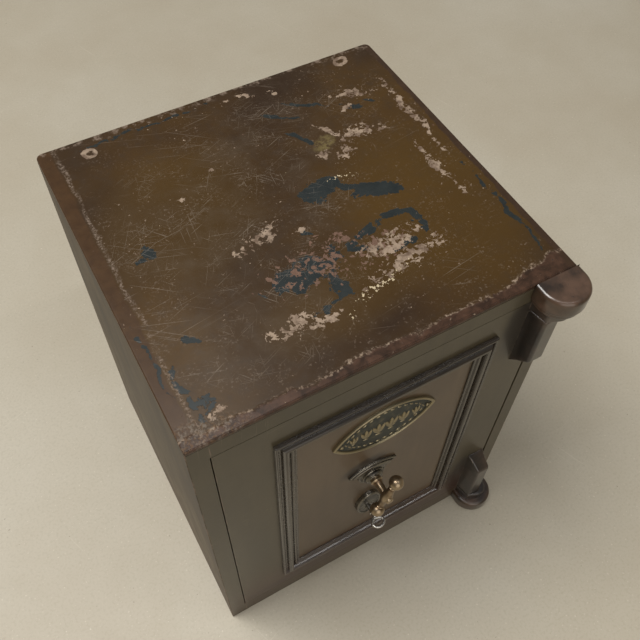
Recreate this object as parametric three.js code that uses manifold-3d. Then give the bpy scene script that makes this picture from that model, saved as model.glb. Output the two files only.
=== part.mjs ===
// A small old fire-resisting safe with a side-hung plate door, in millimetres.
// +Z is up, the front faces -Y, and the origin is the middle of the footprint on the floor.
import * as THREE from 'three';
import * as BufferGeometryUtils from 'three/addons/utils/BufferGeometryUtils.js';
import Module from 'manifold-3d';

const wasm = await Module();
wasm.setup();

// ---- Driving dimensions -------------------------------------------------------------------
const WIDTH = 480;
const DEPTH = 457;
const HEIGHT = 610;
const PLATE = 6; // outer steel plates
const GAP = 0.3; // between neighbouring pieces
const FRONT = -DEPTH / 2; // the plane of the door's face and of the frame
const BACK = DEPTH / 2;

const FRAME_SIDE = 22.3; // frame face on each side of the door, outer plate included
const FRAME_RAIL = 33; // frame face above and below the door
const FRAME_DEEP = 28;
const STOP_DEEP = 45; // how far in the door stops end
const STOP_INSET_X = 40; // stops reach this far in from the sides
const STOP_INSET_Z = 50; // and from the top and bottom

const DOOR_GAP = 2.5;
const DOOR_RIM_Z = 1.2; // gap above and below the door
const DOOR_THICK = 16;

const CHAMBER_X = 185; // half width of the chamber
const CHAMBER_LOW = 52;
const CHAMBER_HIGH = 558;
const CHAMBER_START = 79; // behind the front plane
const CHAMBER_END = 400;
const LINER = 2.5;
const SHELF_Z = 330;

const PIN_X = 213; // the hinge axis, which stands in front of the face
const PIN_OUT = 16.5;
const PIN_R = 7;
const PIN_FIT = 0.4; // clearance round each pin in its arm
const KNUCKLE_R = 16;
const KNUCKLE_TALL = 17;
const EAR_X = 212; // middle of the round of each hinge ear
const EAR_OUT = 12;
const EAR_R = 31.5;
const EAR_THICK = 24;
const EAR_ROUND = 5; // rounding of the ears' outer rims
const LIP_THICK = 9.5; // the upper ear has a smaller lip below its rim
const LIP_INSET = 3;
const PIN_COVER = 8; // solid metal left over the blind end of a pin's hole
const PIN_DEPTH = 13; // how far a pin reaches into its arm
const FIN_ROOT = 186; // left side of the hinge arms' fins where they meet the door
const FIN_LEFT = 191; // and at their front
const FIN_RIGHT = 213;
const FIN_OUT = 26;
const FIN_FOOT = 160; // height at which the lower fin meets the door
const FIN_NOSE = 142; // height of its front corner

const PANEL_X = 148; // outer half width of the moulding round the panel
const PANEL_LOW = 86;
const PANEL_HIGH = 533;
const NAME_Z = 446; // middle of the name plate
const NAME_HALF_W = 73;
const NAME_HALF_H = 44;
const NAME_THICK = 4;
const NAME_RIM = 4;
const NAME_SUNK = 2.5; // depth of the sunk ground inside the rim
const NAME_SCREW_R = 2.6;

const HANDLE_X = -8;
const HANDLE_Z = 313;
const SPINDLE_R = 7;
const SPINDLE_FIT = 0.6; // clearance round the spindle in the rose
const ROSE_DISC_R = 21;
const ROSE_WING_Z = 330; // the rose's pointed wings lie above the spindle
const ROSE_WING_HALF_W = 37;
const ROSE_WING_HALF_H = 13;
const ROSE_THICK = 5;
const BOSS_R = 13;
const BOSS_OUT = 12; // how far the rose's boss stands out
const STEM_OUT = 50; // front end of the handle's stem
const GRIP_HALF = 34; // from the stem's axis to the middle of each ball
const GRIP_OUT = 40;
const GRIP_TURN = (70 * Math.PI) / 180; // how far the grip stands from level at rest
const BALL_R = 10;

const KEY_X = -7;
const KEY_Z = 201;
const KEY_SHANK_R = 3.2;
const KEY_OUT = 26; // where the shank meets the bow
const KEY_BIT_LONG = 13;
const KEY_BIT_DEEP = [38, 46];
const KEY_BIT_HALF = 1.3;
const BOW_HALF_W = 11;
const BOW_HALF_H = 9;
const BOW_HALF_THICK = 1.8;
const KEYHOLE_R = 4.6;
const KEYHOLE_SLOT_HALF = 1.8;
const KEYHOLE_LONG = 15;
const LOCK_PLATE_Z = 212;
const LOCK_PLATE_HALF_W = 20;
const LOCK_PLATE_HALF_H = 33;
const LOCK_PLATE_OUT = 7;

const PAN_X = 187; // half width of the bolt-work pan behind the door
const PAN_LOW = 57;
const PAN_HIGH = 553;
const PAN_WALL = 3;
const PAN_END = 69.7;
const COVER_END = 72.5;

const BOLT_THROW = 22;
const BOLT_R = 10;
const BOLT_FIT = 0.6; // clearance round each bolt in the pan
const BOLT_DEEP = 58; // depth of the bolts' axes
const BOLT_HEIGHTS = [130, 305, 480];
const DOG_R = 9;
const DOG_OUT = 17.7; // how far the fixed dogs stand out of the pan
const BAR_LEFT = -160;
const BAR_RIGHT = -136;
const BAR_LOW = 100;
const BAR_HIGH = 510;
const BAR_FRONT = 48;
const BAR_REAR = 56;
const ARM_LOW = 305; // the bar's arm that the crank moves
const ARM_HIGH = 345;
const ARM_RIGHT = 31;
const NOTCH_DEEP = 9; // the two notches that take the lock bolt
const CRANK_R = 19;
const CRANK_PIN_R = 4;
const CRANK_DEEP = [36, 43];

const CASE_X = [KEY_X - 40, KEY_X + 40]; // lock case
const CASE_Z = [166, 264];
const CASE_END = 60;
const CASE_WALL = 3;
const LOCK_BOLT_HALF = 6;
const LOCK_BOLT_DEEP = [49, 55];
const LOCK_BOLT_LOW = 190;
const LOCK_BOLT_FIT = 0.6;

const STEEL = { color: 0x6e6e70, roughness: 0.45, metalness: 0.9 };
const PAINT = { color: 0x4b4334, roughness: 0.42, metalness: 0.2 };
const TOP_PAINT = { color: 0x48341f, roughness: 0.5, metalness: 0.15 };
const CASTING = { color: 0x3c2a24, roughness: 0.45, metalness: 0.3 };
const BRASS = { color: 0xa98348, roughness: 0.35, metalness: 0.9 };
const BRONZE = { color: 0x4a4036, roughness: 0.5, metalness: 0.8 };
const NICKEL = { color: 0xb5b3ad, roughness: 0.3, metalness: 0.95 };
const FILLING = { color: 0xb9ab8f, roughness: 0.95, metalness: 0 };

// ---- Helpers ------------------------------------------------------------------------------
const safe = new THREE.Group();

function add(name, geometry, finish) {
  const mesh = new THREE.Mesh(geometry, new THREE.MeshStandardMaterial(finish));
  mesh.name = name;
  safe.add(mesh);
}

// A box between depths measured back from the front plane.
function block(x, depth, z) {
  const geometry = new THREE.BoxGeometry(x[1] - x[0], depth[1] - depth[0], z[1] - z[0]);
  return geometry.translate((x[0] + x[1]) / 2, FRONT + (depth[0] + depth[1]) / 2, (z[0] + z[1]) / 2);
}

// An outline in X and Z, extruded between two depths behind the front plane.
function slabY(shape, depth, bevel = 0) {
  const geometry = new THREE.ExtrudeGeometry(shape, {
    depth: depth[1] - depth[0] - 2 * bevel,
    bevelEnabled: bevel > 0,
    bevelSize: bevel,
    bevelThickness: bevel,
    bevelOffset: -bevel,
    bevelSegments: 2,
    curveSegments: 10,
  });
  return geometry.rotateX(Math.PI / 2).translate(0, FRONT + depth[1] - bevel, 0);
}

// An outline in X and Y, extruded between two heights.
function slabZ(shape, z, bevel = 0) {
  const geometry = new THREE.ExtrudeGeometry(shape, {
    depth: z[1] - z[0] - 2 * bevel,
    bevelEnabled: bevel > 0,
    bevelSize: bevel,
    bevelThickness: bevel,
    bevelOffset: -bevel,
    bevelSegments: 3,
    curveSegments: 10,
  });
  return geometry.translate(0, 0, z[0] + bevel);
}

function rodX(radius, x, depth, z, sides = 24) {
  const geometry = new THREE.CylinderGeometry(radius, radius, x[1] - x[0], sides);
  return geometry.rotateZ(Math.PI / 2).translate((x[0] + x[1]) / 2, FRONT + depth, z);
}

function rodY(radius, x, depth, z, sides = 24) {
  const geometry = new THREE.CylinderGeometry(radius, radius, depth[1] - depth[0], sides);
  return geometry.translate(x, FRONT + (depth[0] + depth[1]) / 2, z);
}

function rodZ(radius, x, y, z, sides = 24) {
  const geometry = new THREE.CylinderGeometry(radius, radius, z[1] - z[0], sides);
  return geometry.rotateX(Math.PI / 2).translate(x, y, (z[0] + z[1]) / 2);
}

// CylinderGeometry runs along Y, so rodY needs no turn and a profile lathed in Y points at +Y.
function lathe(profile, sides) {
  return new THREE.LatheGeometry(profile.map(([r, h]) => new THREE.Vector2(r, h)), sides);
}

function toSolid(geometry) {
  const bare = geometry.clone();
  bare.deleteAttribute('normal');
  bare.deleteAttribute('uv');
  const merged = BufferGeometryUtils.mergeVertices(bare, 1e-4);
  const mesh = new wasm.Mesh({
    numProp: 3,
    vertProperties: new Float32Array(merged.attributes.position.array),
    triVerts: new Uint32Array(merged.index.array),
  });
  return new wasm.Manifold(mesh);
}

function toGeometry(solid) {
  const mesh = solid.getMesh();
  const geometry = new THREE.BufferGeometry();
  geometry.setAttribute('position', new THREE.BufferAttribute(mesh.vertProperties, 3));
  geometry.setIndex(new THREE.BufferAttribute(mesh.triVerts, 1));
  return geometry;
}

function cut(geometry, ...cutters) {
  return toGeometry(cutters.reduce((solid, cutter) => solid.subtract(toSolid(cutter)), toSolid(geometry)));
}

function join(...geometries) {
  return toGeometry(geometries.map(toSolid).reduce((solid, next) => solid.add(next)));
}

function rectangle(x0, x1, y0, y1) {
  const shape = new THREE.Shape();
  shape.moveTo(x0, y0);
  shape.lineTo(x1, y0);
  shape.lineTo(x1, y1);
  shape.lineTo(x0, y1);
  return shape;
}

// ---- Body: outer plates, door frame and stops ---------------------------------------------
const sideIn = WIDTH / 2 - PLATE - GAP;
const underTop = HEIGHT - PLATE - GAP;
const aheadOfBack = DEPTH - PLATE - GAP;

function topPlateOutline() {
  const rear = 8;
  const shape = new THREE.Shape();
  shape.moveTo(-WIDTH / 2, FRONT);
  shape.lineTo(WIDTH / 2, FRONT);
  shape.lineTo(WIDTH / 2, BACK - rear);
  shape.absarc(WIDTH / 2 - rear, BACK - rear, rear, 0, Math.PI / 2);
  shape.absarc(-WIDTH / 2 + rear, BACK - rear, rear, Math.PI / 2, Math.PI);
  return shape;
}

function backPlateOutline() {
  const round = PLATE - 0.5;
  const shape = new THREE.Shape();
  shape.moveTo(-WIDTH / 2, BACK - PLATE);
  shape.lineTo(WIDTH / 2, BACK - PLATE);
  shape.absarc(WIDTH / 2 - round, BACK - round, round, 0, Math.PI / 2);
  shape.absarc(-WIDTH / 2 + round, BACK - round, round, Math.PI / 2, Math.PI);
  return shape;
}

function buildOuterPlates() {
  add('top_plate', slabZ(topPlateOutline(), [HEIGHT - PLATE, HEIGHT], 2), TOP_PAINT);
  add('bottom_plate', block([-sideIn, sideIn], [0, aheadOfBack], [0, PLATE]), PAINT);
  add('left_side_plate', block([-WIDTH / 2, -WIDTH / 2 + PLATE], [0, aheadOfBack], [0, underTop]), PAINT);
  add('right_side_plate', block([WIDTH / 2 - PLATE, WIDTH / 2], [0, aheadOfBack], [0, underTop]), PAINT);
  add('back_plate', slabZ(backPlateOutline(), [0, underTop]), PAINT);
}

function buildFrame() {
  const stile = [WIDTH / 2 - FRAME_SIDE, sideIn];
  const tall = [PLATE + GAP, underTop];
  const between = [-stile[0] + GAP, stile[0] - GAP];
  const deep = [0, FRAME_DEEP];
  add('frame_left_stile', block([-stile[1], -stile[0]], deep, tall), PAINT);
  add('frame_right_stile', block(stile, deep, tall), PAINT);
  add('frame_head', block(between, deep, [HEIGHT - FRAME_RAIL, underTop]), PAINT);
  add('frame_sill', block(between, deep, [PLATE + GAP, FRAME_RAIL]), PAINT);

  const stopDeep = [FRAME_DEEP + GAP, STOP_DEEP];
  const stop = [WIDTH / 2 - STOP_INSET_X, sideIn];
  const betweenStops = [-stop[0] + GAP, stop[0] - GAP];
  add('door_stop_left', block([-stop[1], -stop[0]], stopDeep, tall), PAINT);
  add('door_stop_right', block(stop, stopDeep, tall), PAINT);
  add('door_stop_head', block(betweenStops, stopDeep, [HEIGHT - STOP_INSET_Z, underTop]), PAINT);
  add('door_stop_sill', block(betweenStops, stopDeep, [PLATE + GAP, STOP_INSET_Z]), PAINT);
}

// ---- Body: fire filling, chamber liner and shelf ------------------------------------------
function buildChamber() {
  const outX = CHAMBER_X + LINER;
  const deep = [CHAMBER_START, CHAMBER_END + LINER];
  const fillDeep = [CHAMBER_START, CHAMBER_END + LINER + GAP];
  const tall = [PLATE + GAP, underTop];
  const fillX = [outX + GAP, sideIn];
  add('filling_left', block([-fillX[1], -fillX[0]], fillDeep, tall), FILLING);
  add('filling_right', block(fillX, fillDeep, tall), FILLING);
  add('filling_top', block([-outX, outX], fillDeep, [CHAMBER_HIGH + LINER + GAP, underTop]), FILLING);
  add('filling_bottom', block([-outX, outX], fillDeep, [PLATE + GAP, CHAMBER_LOW - LINER - GAP]), FILLING);
  add('filling_back', block([-sideIn, sideIn], [fillDeep[1] + GAP, aheadOfBack], tall), FILLING);

  const wallTall = [CHAMBER_LOW + GAP, CHAMBER_HIGH - GAP];
  add('liner_top', block([-outX, outX], deep, [CHAMBER_HIGH, CHAMBER_HIGH + LINER]), PAINT);
  add('liner_bottom', block([-outX, outX], deep, [CHAMBER_LOW - LINER, CHAMBER_LOW]), PAINT);
  add('liner_left', block([-outX, -CHAMBER_X], deep, wallTall), PAINT);
  add('liner_right', block([CHAMBER_X, outX], deep, wallTall), PAINT);
  const backX = CHAMBER_X - GAP;
  add('liner_back', block([-backX, backX], [CHAMBER_END, CHAMBER_END + LINER], wallTall), PAINT);
}

function buildShelf() {
  const deep = [CHAMBER_START + 12, CHAMBER_END - 2];
  const inset = 1.5;
  const ledge = 16;
  const ledgeThick = 3;
  add('shelf', block([-CHAMBER_X + inset, CHAMBER_X - inset], deep, [SHELF_Z, SHELF_Z + 3]), PAINT);
  const ledgeZ = [SHELF_Z - GAP - ledgeThick, SHELF_Z - GAP];
  add('shelf_ledge_left', block([-CHAMBER_X + GAP, -CHAMBER_X + ledge], deep, ledgeZ), PAINT);
  add('shelf_ledge_right', block([CHAMBER_X - ledge, CHAMBER_X - GAP], deep, ledgeZ), PAINT);
}

// ---- Hinges: ears and pins on the body, arms on the door ----------------------------------
const pinY = FRONT - PIN_OUT;

// A lug with straight sides and a round nose. Its root runs back past the front plane.
function earOutline(radius) {
  const root = FRONT + EAR_ROUND + 1;
  const shape = new THREE.Shape();
  shape.moveTo(EAR_X + radius, root);
  shape.lineTo(EAR_X - radius, root);
  shape.absarc(EAR_X, FRONT - EAR_OUT, radius, Math.PI, 2 * Math.PI);
  return shape;
}

// An ear with its rim at the top, trimmed back to the front plane and bored from below.
function ear(lip) {
  const low = HEIGHT - EAR_THICK;
  const rim = slabZ(earOutline(EAR_R), [low, HEIGHT], EAR_ROUND);
  const lipOutline = earOutline(EAR_R - LIP_INSET);
  const body = lip > 0 ? join(rim, slabZ(lipOutline, [low - lip, low + EAR_ROUND], 2)) : rim;
  const across = [EAR_X - EAR_R - 1, EAR_X + EAR_R + 1];
  const behind = block(across, [-GAP, 2 * EAR_ROUND], [low - lip - 1, HEIGHT + 1]);
  return cut(body, behind, rodZ(PIN_R + GAP, PIN_X, pinY, [low - lip - 1, HEIGHT - PIN_COVER]));
}

// The arm's plan at the knuckle: a round nose about the pin, and a flat root on the door.
function knuckleOutline() {
  const shape = new THREE.Shape();
  shape.moveTo(FIN_ROOT, FRONT - GAP);
  shape.lineTo(FIN_LEFT, FRONT - FIN_OUT);
  shape.absarc(PIN_X, pinY, KNUCKLE_R, 1.35 * Math.PI, 2.5 * Math.PI);
  shape.lineTo(PIN_X, FRONT - GAP);
  return shape;
}

// The fin's plan, wider at the door than at its front.
function finOutline() {
  const shape = new THREE.Shape();
  shape.moveTo(FIN_ROOT, FRONT - GAP);
  shape.lineTo(FIN_LEFT, FRONT - FIN_OUT);
  shape.lineTo(FIN_RIGHT, FRONT - FIN_OUT);
  shape.lineTo(FIN_RIGHT, FRONT - GAP);
  return shape;
}

// The fin's side outline, with a rounded nose and a slope from the nose up to its foot.
function finSide(base) {
  const round = 9;
  const nose = FIN_OUT - round;
  const shape = new THREE.Shape();
  shape.moveTo(-1, base);
  shape.lineTo(FIN_OUT + 1, base);
  shape.lineTo(FIN_OUT + 1, FIN_NOSE - round);
  shape.absarc(nose + 1, FIN_NOSE - round, round, 0, Math.PI / 3);
  shape.lineTo(-1, FIN_FOOT);
  const wide = FIN_RIGHT - FIN_ROOT + 2;
  const side = new THREE.ExtrudeGeometry(shape, { depth: wide, bevelEnabled: false, curveSegments: 8 });
  const turn = new THREE.Matrix4().makeBasis(
    new THREE.Vector3(0, -1, 0),
    new THREE.Vector3(0, 0, 1),
    new THREE.Vector3(-1, 0, 0),
  );
  return side.applyMatrix4(turn).translate(FIN_RIGHT + 1, FRONT, 0);
}

// The lower arm, standing on its ear: a knuckle and a fin, bored from below for the pin.
function arm(base) {
  const knuckle = slabZ(knuckleOutline(), [base, base + KNUCKLE_TALL]);
  const fin = toSolid(slabZ(finOutline(), [base, FIN_FOOT + 1])).intersect(toSolid(finSide(base)));
  const bore = rodZ(PIN_R + PIN_FIT, PIN_X, pinY, [base - 1, base + PIN_DEPTH + 1]);
  return cut(toGeometry(toSolid(knuckle).add(fin)), bore);
}

// The same piece turned over about the safe's middle height.
function flipped(geometry) {
  const solid = toSolid(geometry).mirror([0, 0, 1]);
  return toGeometry(solid).translate(0, 0, HEIGHT);
}

function buildHinges() {
  const lowerBase = EAR_THICK + 2 * GAP;
  const upperBase = EAR_THICK + LIP_THICK + 2 * GAP;
  const pinLow = PIN_COVER + GAP;
  add('upper_hinge_ear', ear(LIP_THICK), CASTING);
  add('lower_hinge_ear', flipped(ear(0)), CASTING);
  add('upper_hinge_pin', flipped(rodZ(PIN_R, PIN_X, pinY, [pinLow, upperBase + PIN_DEPTH])), STEEL);
  add('lower_hinge_pin', rodZ(PIN_R, PIN_X, pinY, [pinLow, lowerBase + PIN_DEPTH]), STEEL);
  add('upper_hinge_arm', flipped(arm(upperBase)), CASTING);
  add('lower_hinge_arm', arm(lowerBase), CASTING);
}

// ---- Door: plate, panel moulding and name plate -------------------------------------------
const doorX = WIDTH / 2 - FRAME_SIDE - DOOR_GAP;
const doorZ = [FRAME_RAIL + DOOR_RIM_Z, HEIGHT - FRAME_RAIL - DOOR_RIM_Z];

function keyholePath() {
  const path = new THREE.Path();
  const side = Math.asin(KEYHOLE_SLOT_HALF / KEYHOLE_R);
  path.absarc(KEY_X, KEY_Z, KEYHOLE_R, -Math.PI / 2 + side, 1.5 * Math.PI - side);
  path.lineTo(KEY_X - KEYHOLE_SLOT_HALF, KEY_Z - KEYHOLE_LONG);
  path.lineTo(KEY_X + KEYHOLE_SLOT_HALF, KEY_Z - KEYHOLE_LONG);
  return path;
}

function roundPath(x, z, radius) {
  const path = new THREE.Path();
  path.absarc(x, z, radius, 0, 2 * Math.PI);
  return path;
}

function buildDoorPlate() {
  const face = rectangle(-doorX, doorX, doorZ[0], doorZ[1]);
  face.holes.push(roundPath(HANDLE_X, HANDLE_Z, SPINDLE_R + 1.5));
  face.holes.push(keyholePath());
  add('door_plate', slabY(face, [0, DOOR_THICK]), PAINT);
}

// The moulding's section: distance in from its outer edge, and height off the door.
const MOULDING = [
  [0, 0], [0, 4.5], [1, 5.5], [3, 5.5], [4, 4], [6, 2.6], [8, 3], [10, 5], [11, 7.5], [13, 8.8],
  [15.5, 8.8], [17.5, 7], [18.5, 4.6], [19.5, 5.6], [21.5, 5.6], [22.5, 4], [24, 4.4], [27, 4.2], [28, 0],
];

// One straight length of moulding, cut to 45 degrees at both ends, lying along +X at the origin
// with its outer edge at z = 0 and the panel towards -Z.
function mouldingLength(length) {
  const shape = new THREE.Shape(MOULDING.map(([inward, out]) => new THREE.Vector2(inward, out)));
  const geometry = new THREE.ExtrudeGeometry(shape, { depth: length, bevelEnabled: false });
  const place = geometry.attributes.position;
  for (let i = 0; i < place.count; i += 1) {
    const inward = place.getX(i);
    const out = place.getY(i);
    const along = place.getZ(i);
    const mitred = along > length / 2 ? along - inward - GAP : along + inward + GAP;
    place.setXYZ(i, length / 2 - mitred, -out, -inward);
  }
  return geometry;
}

function buildMoulding() {
  const across = 2 * PANEL_X;
  const tall = PANEL_HIGH - PANEL_LOW;
  const midZ = (PANEL_HIGH + PANEL_LOW) / 2;
  const sides = [
    ['moulding_top', across, 0, 0, PANEL_HIGH],
    ['moulding_right', tall, Math.PI / 2, PANEL_X, midZ],
    ['moulding_bottom', across, Math.PI, 0, PANEL_LOW],
    ['moulding_left', tall, -Math.PI / 2, -PANEL_X, midZ],
  ];
  for (const [name, length, turn, x, z] of sides) {
    add(name, mouldingLength(length).rotateY(turn).translate(x, FRONT - GAP, z), PAINT);
  }
}

// A pointed oval made of two equal arcs.
function pointedOval(x, z, halfWide, halfTall) {
  const radius = (halfWide ** 2 + halfTall ** 2) / (2 * halfTall);
  const reach = Math.asin(halfWide / radius);
  const shape = new THREE.Shape();
  const up = Math.PI / 2;
  shape.absarc(x, z + halfTall - radius, radius, up - reach, up + reach);
  shape.absarc(x, z - halfTall + radius, radius, -up - reach, -up + reach);
  return shape;
}

function buildNamePlate() {
  const floor = -NAME_THICK + NAME_SUNK;
  const ahead = -NAME_THICK - 1;
  const outline = pointedOval(0, NAME_Z, NAME_HALF_W, NAME_HALF_H);
  const ground = pointedOval(0, NAME_Z, NAME_HALF_W - 2 * NAME_RIM, NAME_HALF_H - NAME_RIM);
  const screwX = NAME_HALF_W - 3 * NAME_RIM;
  const seats = [-screwX, screwX].map((x) => rodY(NAME_SCREW_R + 0.4, x, [ahead, floor], NAME_Z, 12));
  const screw = rodY(NAME_SCREW_R, 0, [ahead, floor - GAP], NAME_Z, 12);
  add('name_plate', cut(slabY(outline, [-NAME_THICK, -GAP]), slabY(ground, [ahead, floor]), ...seats), BRASS);
  add('name_plate_screw_left', screw.clone().translate(-screwX, 0, 0), BRASS);
  add('name_plate_screw_right', screw.clone().translate(screwX, 0, 0), BRASS);
}

// ---- Door: handle, keyhole and key --------------------------------------------------------
function disc(x, z, radius) {
  const shape = new THREE.Shape();
  shape.absarc(x, z, radius, 0, 2 * Math.PI);
  return shape;
}

// A plate with two pointed wings over a round, and a boss round the spindle.
function buildRose() {
  const winged = pointedOval(HANDLE_X, ROSE_WING_Z, ROSE_WING_HALF_W, ROSE_WING_HALF_H);
  const wings = slabY(winged, [-ROSE_THICK, -GAP]);
  const round = slabY(disc(HANDLE_X, HANDLE_Z, ROSE_DISC_R), [-ROSE_THICK, -GAP]);
  const boss = slabY(disc(HANDLE_X, HANDLE_Z, BOSS_R), [-BOSS_OUT, -1]);
  const bore = rodY(SPINDLE_R + SPINDLE_FIT, HANDLE_X, [-BOSS_OUT - 1, 1], HANDLE_Z);
  add('handle_rose', cut(join(wings, round, boss), bore), BRONZE);
}

// The grip: a bar with a ball at each end, across a round stem.
function gripGeometry() {
  const bar = [];
  const ballStart = Math.PI / 5;
  for (let i = 0; i <= 8; i += 1) {
    const angle = Math.PI - ((Math.PI - ballStart) * i) / 8;
    bar.push([BALL_R * Math.sin(angle), -GRIP_HALF + BALL_R * Math.cos(angle)]);
  }
  bar.push([5, -23], [5.2, -14], [6, -8], [7.4, -4], [7.8, 0]);
  const mirrored = bar.slice(0, -1).reverse().map(([r, h]) => [r, -h]);
  const profile = [...bar, ...mirrored];
  profile[0][0] = 0;
  profile[profile.length - 1][0] = 0;
  const cross = lathe(profile, 16).rotateZ(Math.PI / 2).rotateY(-GRIP_TURN).translate(0, -GRIP_OUT, 0);
  const stem = lathe([
    [0, -STEM_OUT], [3.6, -STEM_OUT], [5, -STEM_OUT + 1.4], [5.2, -GRIP_OUT], [5.2, -22],
    [6.6, -17], [9, -BOSS_OUT - 2], [9, -BOSS_OUT - GAP], [0, -BOSS_OUT - GAP],
  ], 20);
  return join(cross, stem).translate(HANDLE_X, FRONT, HANDLE_Z);
}

// The spindle carries the crank, whose pin stands 35.4 degrees to the right of straight up.
const CRANK_REST = Math.asin(BOLT_THROW / 2 / CRANK_R);

function spindleGeometry() {
  const pinX = HANDLE_X + CRANK_R * Math.sin(CRANK_REST);
  const pinZ = HANDLE_Z + CRANK_R * Math.cos(CRANK_REST);
  const shaft = rodY(SPINDLE_R, HANDLE_X, [-BOSS_OUT, CRANK_DEEP[1]], HANDLE_Z);
  const hub = rodY(BOSS_R, HANDLE_X, CRANK_DEEP, HANDLE_Z);
  const eye = rodY(2 * CRANK_PIN_R, pinX, CRANK_DEEP, pinZ);
  const pin = rodY(CRANK_PIN_R, pinX, [CRANK_DEEP[0] + 1, BAR_REAR + 2], pinZ, 16);
  return join(join(shaft, hub), join(eye, pin));
}

function buildHandle() {
  add('handle_grip', gripGeometry(), BRASS);
  add('handle_spindle', spindleGeometry(), STEEL);
}

function buildLockPlate() {
  const shape = new THREE.Shape();
  shape.absellipse(KEY_X, LOCK_PLATE_Z, LOCK_PLATE_HALF_W, LOCK_PLATE_HALF_H, 0, 2 * Math.PI);
  shape.holes.push(keyholePath());
  add('keyhole_plate', slabY(shape, [-LOCK_PLATE_OUT, -GAP]), BRONZE);
}

// The key, turned a quarter so that its bow and bit lie level.
function keyGeometry() {
  const bowMiddle = -KEY_OUT - BOW_HALF_H + 1;
  const shank = rodY(KEY_SHANK_R, KEY_X, [-KEY_OUT, KEY_BIT_DEEP[1] + 1], KEY_Z, 16);
  const bitZ = [KEY_Z - KEY_BIT_HALF, KEY_Z + KEY_BIT_HALF];
  const bit = block([KEY_X, KEY_X + KEY_BIT_LONG], KEY_BIT_DEEP, bitZ);
  const ring = new THREE.Shape();
  ring.absellipse(0, 0, BOW_HALF_W, BOW_HALF_H, 0, 2 * Math.PI);
  const eye = new THREE.Path();
  eye.absellipse(0, 0, BOW_HALF_W - 4.5, BOW_HALF_H - 4.5, 0, 2 * Math.PI);
  ring.holes.push(eye);
  const bow = slabZ(ring, [-BOW_HALF_THICK, BOW_HALF_THICK], 0.6).translate(KEY_X, FRONT + bowMiddle, KEY_Z);
  return join(join(shank, bit), bow);
}

// ---- Door: bolt work behind the plate -----------------------------------------------------
function buildPan() {
  const deep = [DOOR_THICK + GAP, PAN_END];
  const left = block([-PAN_X, -PAN_X + PAN_WALL], deep, [PAN_LOW, PAN_HIGH]);
  const through = [-PAN_X - 1, -PAN_X + PAN_WALL + 1];
  const holes = BOLT_HEIGHTS.map((z) => rodX(BOLT_R + BOLT_FIT, through, BOLT_DEEP, z));
  const inX = PAN_X - PAN_WALL - GAP;
  add('pan_left', cut(left, ...holes), STEEL);
  add('pan_right', block([PAN_X - PAN_WALL, PAN_X], deep, [PAN_LOW, PAN_HIGH]), STEEL);
  add('pan_top', block([-inX, inX], deep, [PAN_HIGH - PAN_WALL, PAN_HIGH]), STEEL);
  add('pan_bottom', block([-inX, inX], deep, [PAN_LOW, PAN_LOW + PAN_WALL]), STEEL);
  add('pan_cover', block([-PAN_X, PAN_X], [PAN_END + GAP, COVER_END], [PAN_LOW, PAN_HIGH]), STEEL);
}

function barOutline() {
  const notch = LOCK_BOLT_HALF + 1;
  const notchTop = ARM_LOW + NOTCH_DEEP;
  const shape = new THREE.Shape();
  shape.moveTo(BAR_LEFT, BAR_LOW);
  shape.lineTo(BAR_RIGHT, BAR_LOW);
  shape.lineTo(BAR_RIGHT, ARM_LOW);
  for (const x of [KEY_X, KEY_X + BOLT_THROW]) {
    shape.lineTo(x - notch, ARM_LOW);
    shape.lineTo(x - notch, notchTop);
    shape.lineTo(x + notch, notchTop);
    shape.lineTo(x + notch, ARM_LOW);
  }
  shape.lineTo(ARM_RIGHT, ARM_LOW);
  shape.lineTo(ARM_RIGHT, ARM_HIGH);
  shape.lineTo(BAR_RIGHT, ARM_HIGH);
  shape.lineTo(BAR_RIGHT, BAR_HIGH);
  shape.lineTo(BAR_LEFT, BAR_HIGH);
  return shape;
}

// The slot that the crank pin works in.
function barSlot() {
  const half = CRANK_PIN_R + SPINDLE_FIT;
  const x = HANDLE_X + BOLT_THROW / 2;
  const low = HANDLE_Z + CRANK_R * Math.cos(CRANK_REST);
  const high = HANDLE_Z + CRANK_R;
  const path = new THREE.Path();
  path.absarc(x, high, half, 0, Math.PI);
  path.absarc(x, low, half, Math.PI, 2 * Math.PI);
  return path;
}

function buildBoltWork() {
  const bar = barOutline();
  bar.holes.push(barSlot());
  add('bolt_bar', slabY(bar, [BAR_FRONT, BAR_REAR]), STEEL);
  const names = ['lower', 'middle', 'upper'];
  BOLT_HEIGHTS.forEach((z, i) => {
    const bolt = rodX(BOLT_R, [-PAN_X + 0.5, BAR_LEFT - GAP], BOLT_DEEP, z);
    add(`${names[i]}_bolt`, bolt, STEEL);
    const dog = rodX(DOG_R, [PAN_X + GAP, PAN_X + GAP + DOG_OUT], BOLT_DEEP + 1, z);
    add(`${names[i]}_fixed_dog`, dog, STEEL);
  });
}

function buildLock() {
  const outer = block(CASE_X, [DOOR_THICK + GAP, CASE_END], CASE_Z);
  const inside = block(
    [CASE_X[0] + CASE_WALL, CASE_X[1] - CASE_WALL],
    [DOOR_THICK - 1, CASE_END - CASE_WALL],
    [CASE_Z[0] + CASE_WALL, CASE_Z[1] - CASE_WALL],
  );
  const half = LOCK_BOLT_HALF + LOCK_BOLT_FIT;
  const slotDeep = [LOCK_BOLT_DEEP[0] - LOCK_BOLT_FIT, LOCK_BOLT_DEEP[1] + LOCK_BOLT_FIT];
  const slot = block([KEY_X - half, KEY_X + half], slotDeep, [CASE_Z[1] - 5, CASE_Z[1] + 1]);
  add('lock_case', cut(outer, inside, slot), STEEL);
  const nose = [KEY_X - LOCK_BOLT_HALF, KEY_X + LOCK_BOLT_HALF];
  add('lock_bolt', block(nose, LOCK_BOLT_DEEP, [LOCK_BOLT_LOW, ARM_LOW - 4]), BRASS);
  add('key', keyGeometry(), NICKEL);
}

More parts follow.
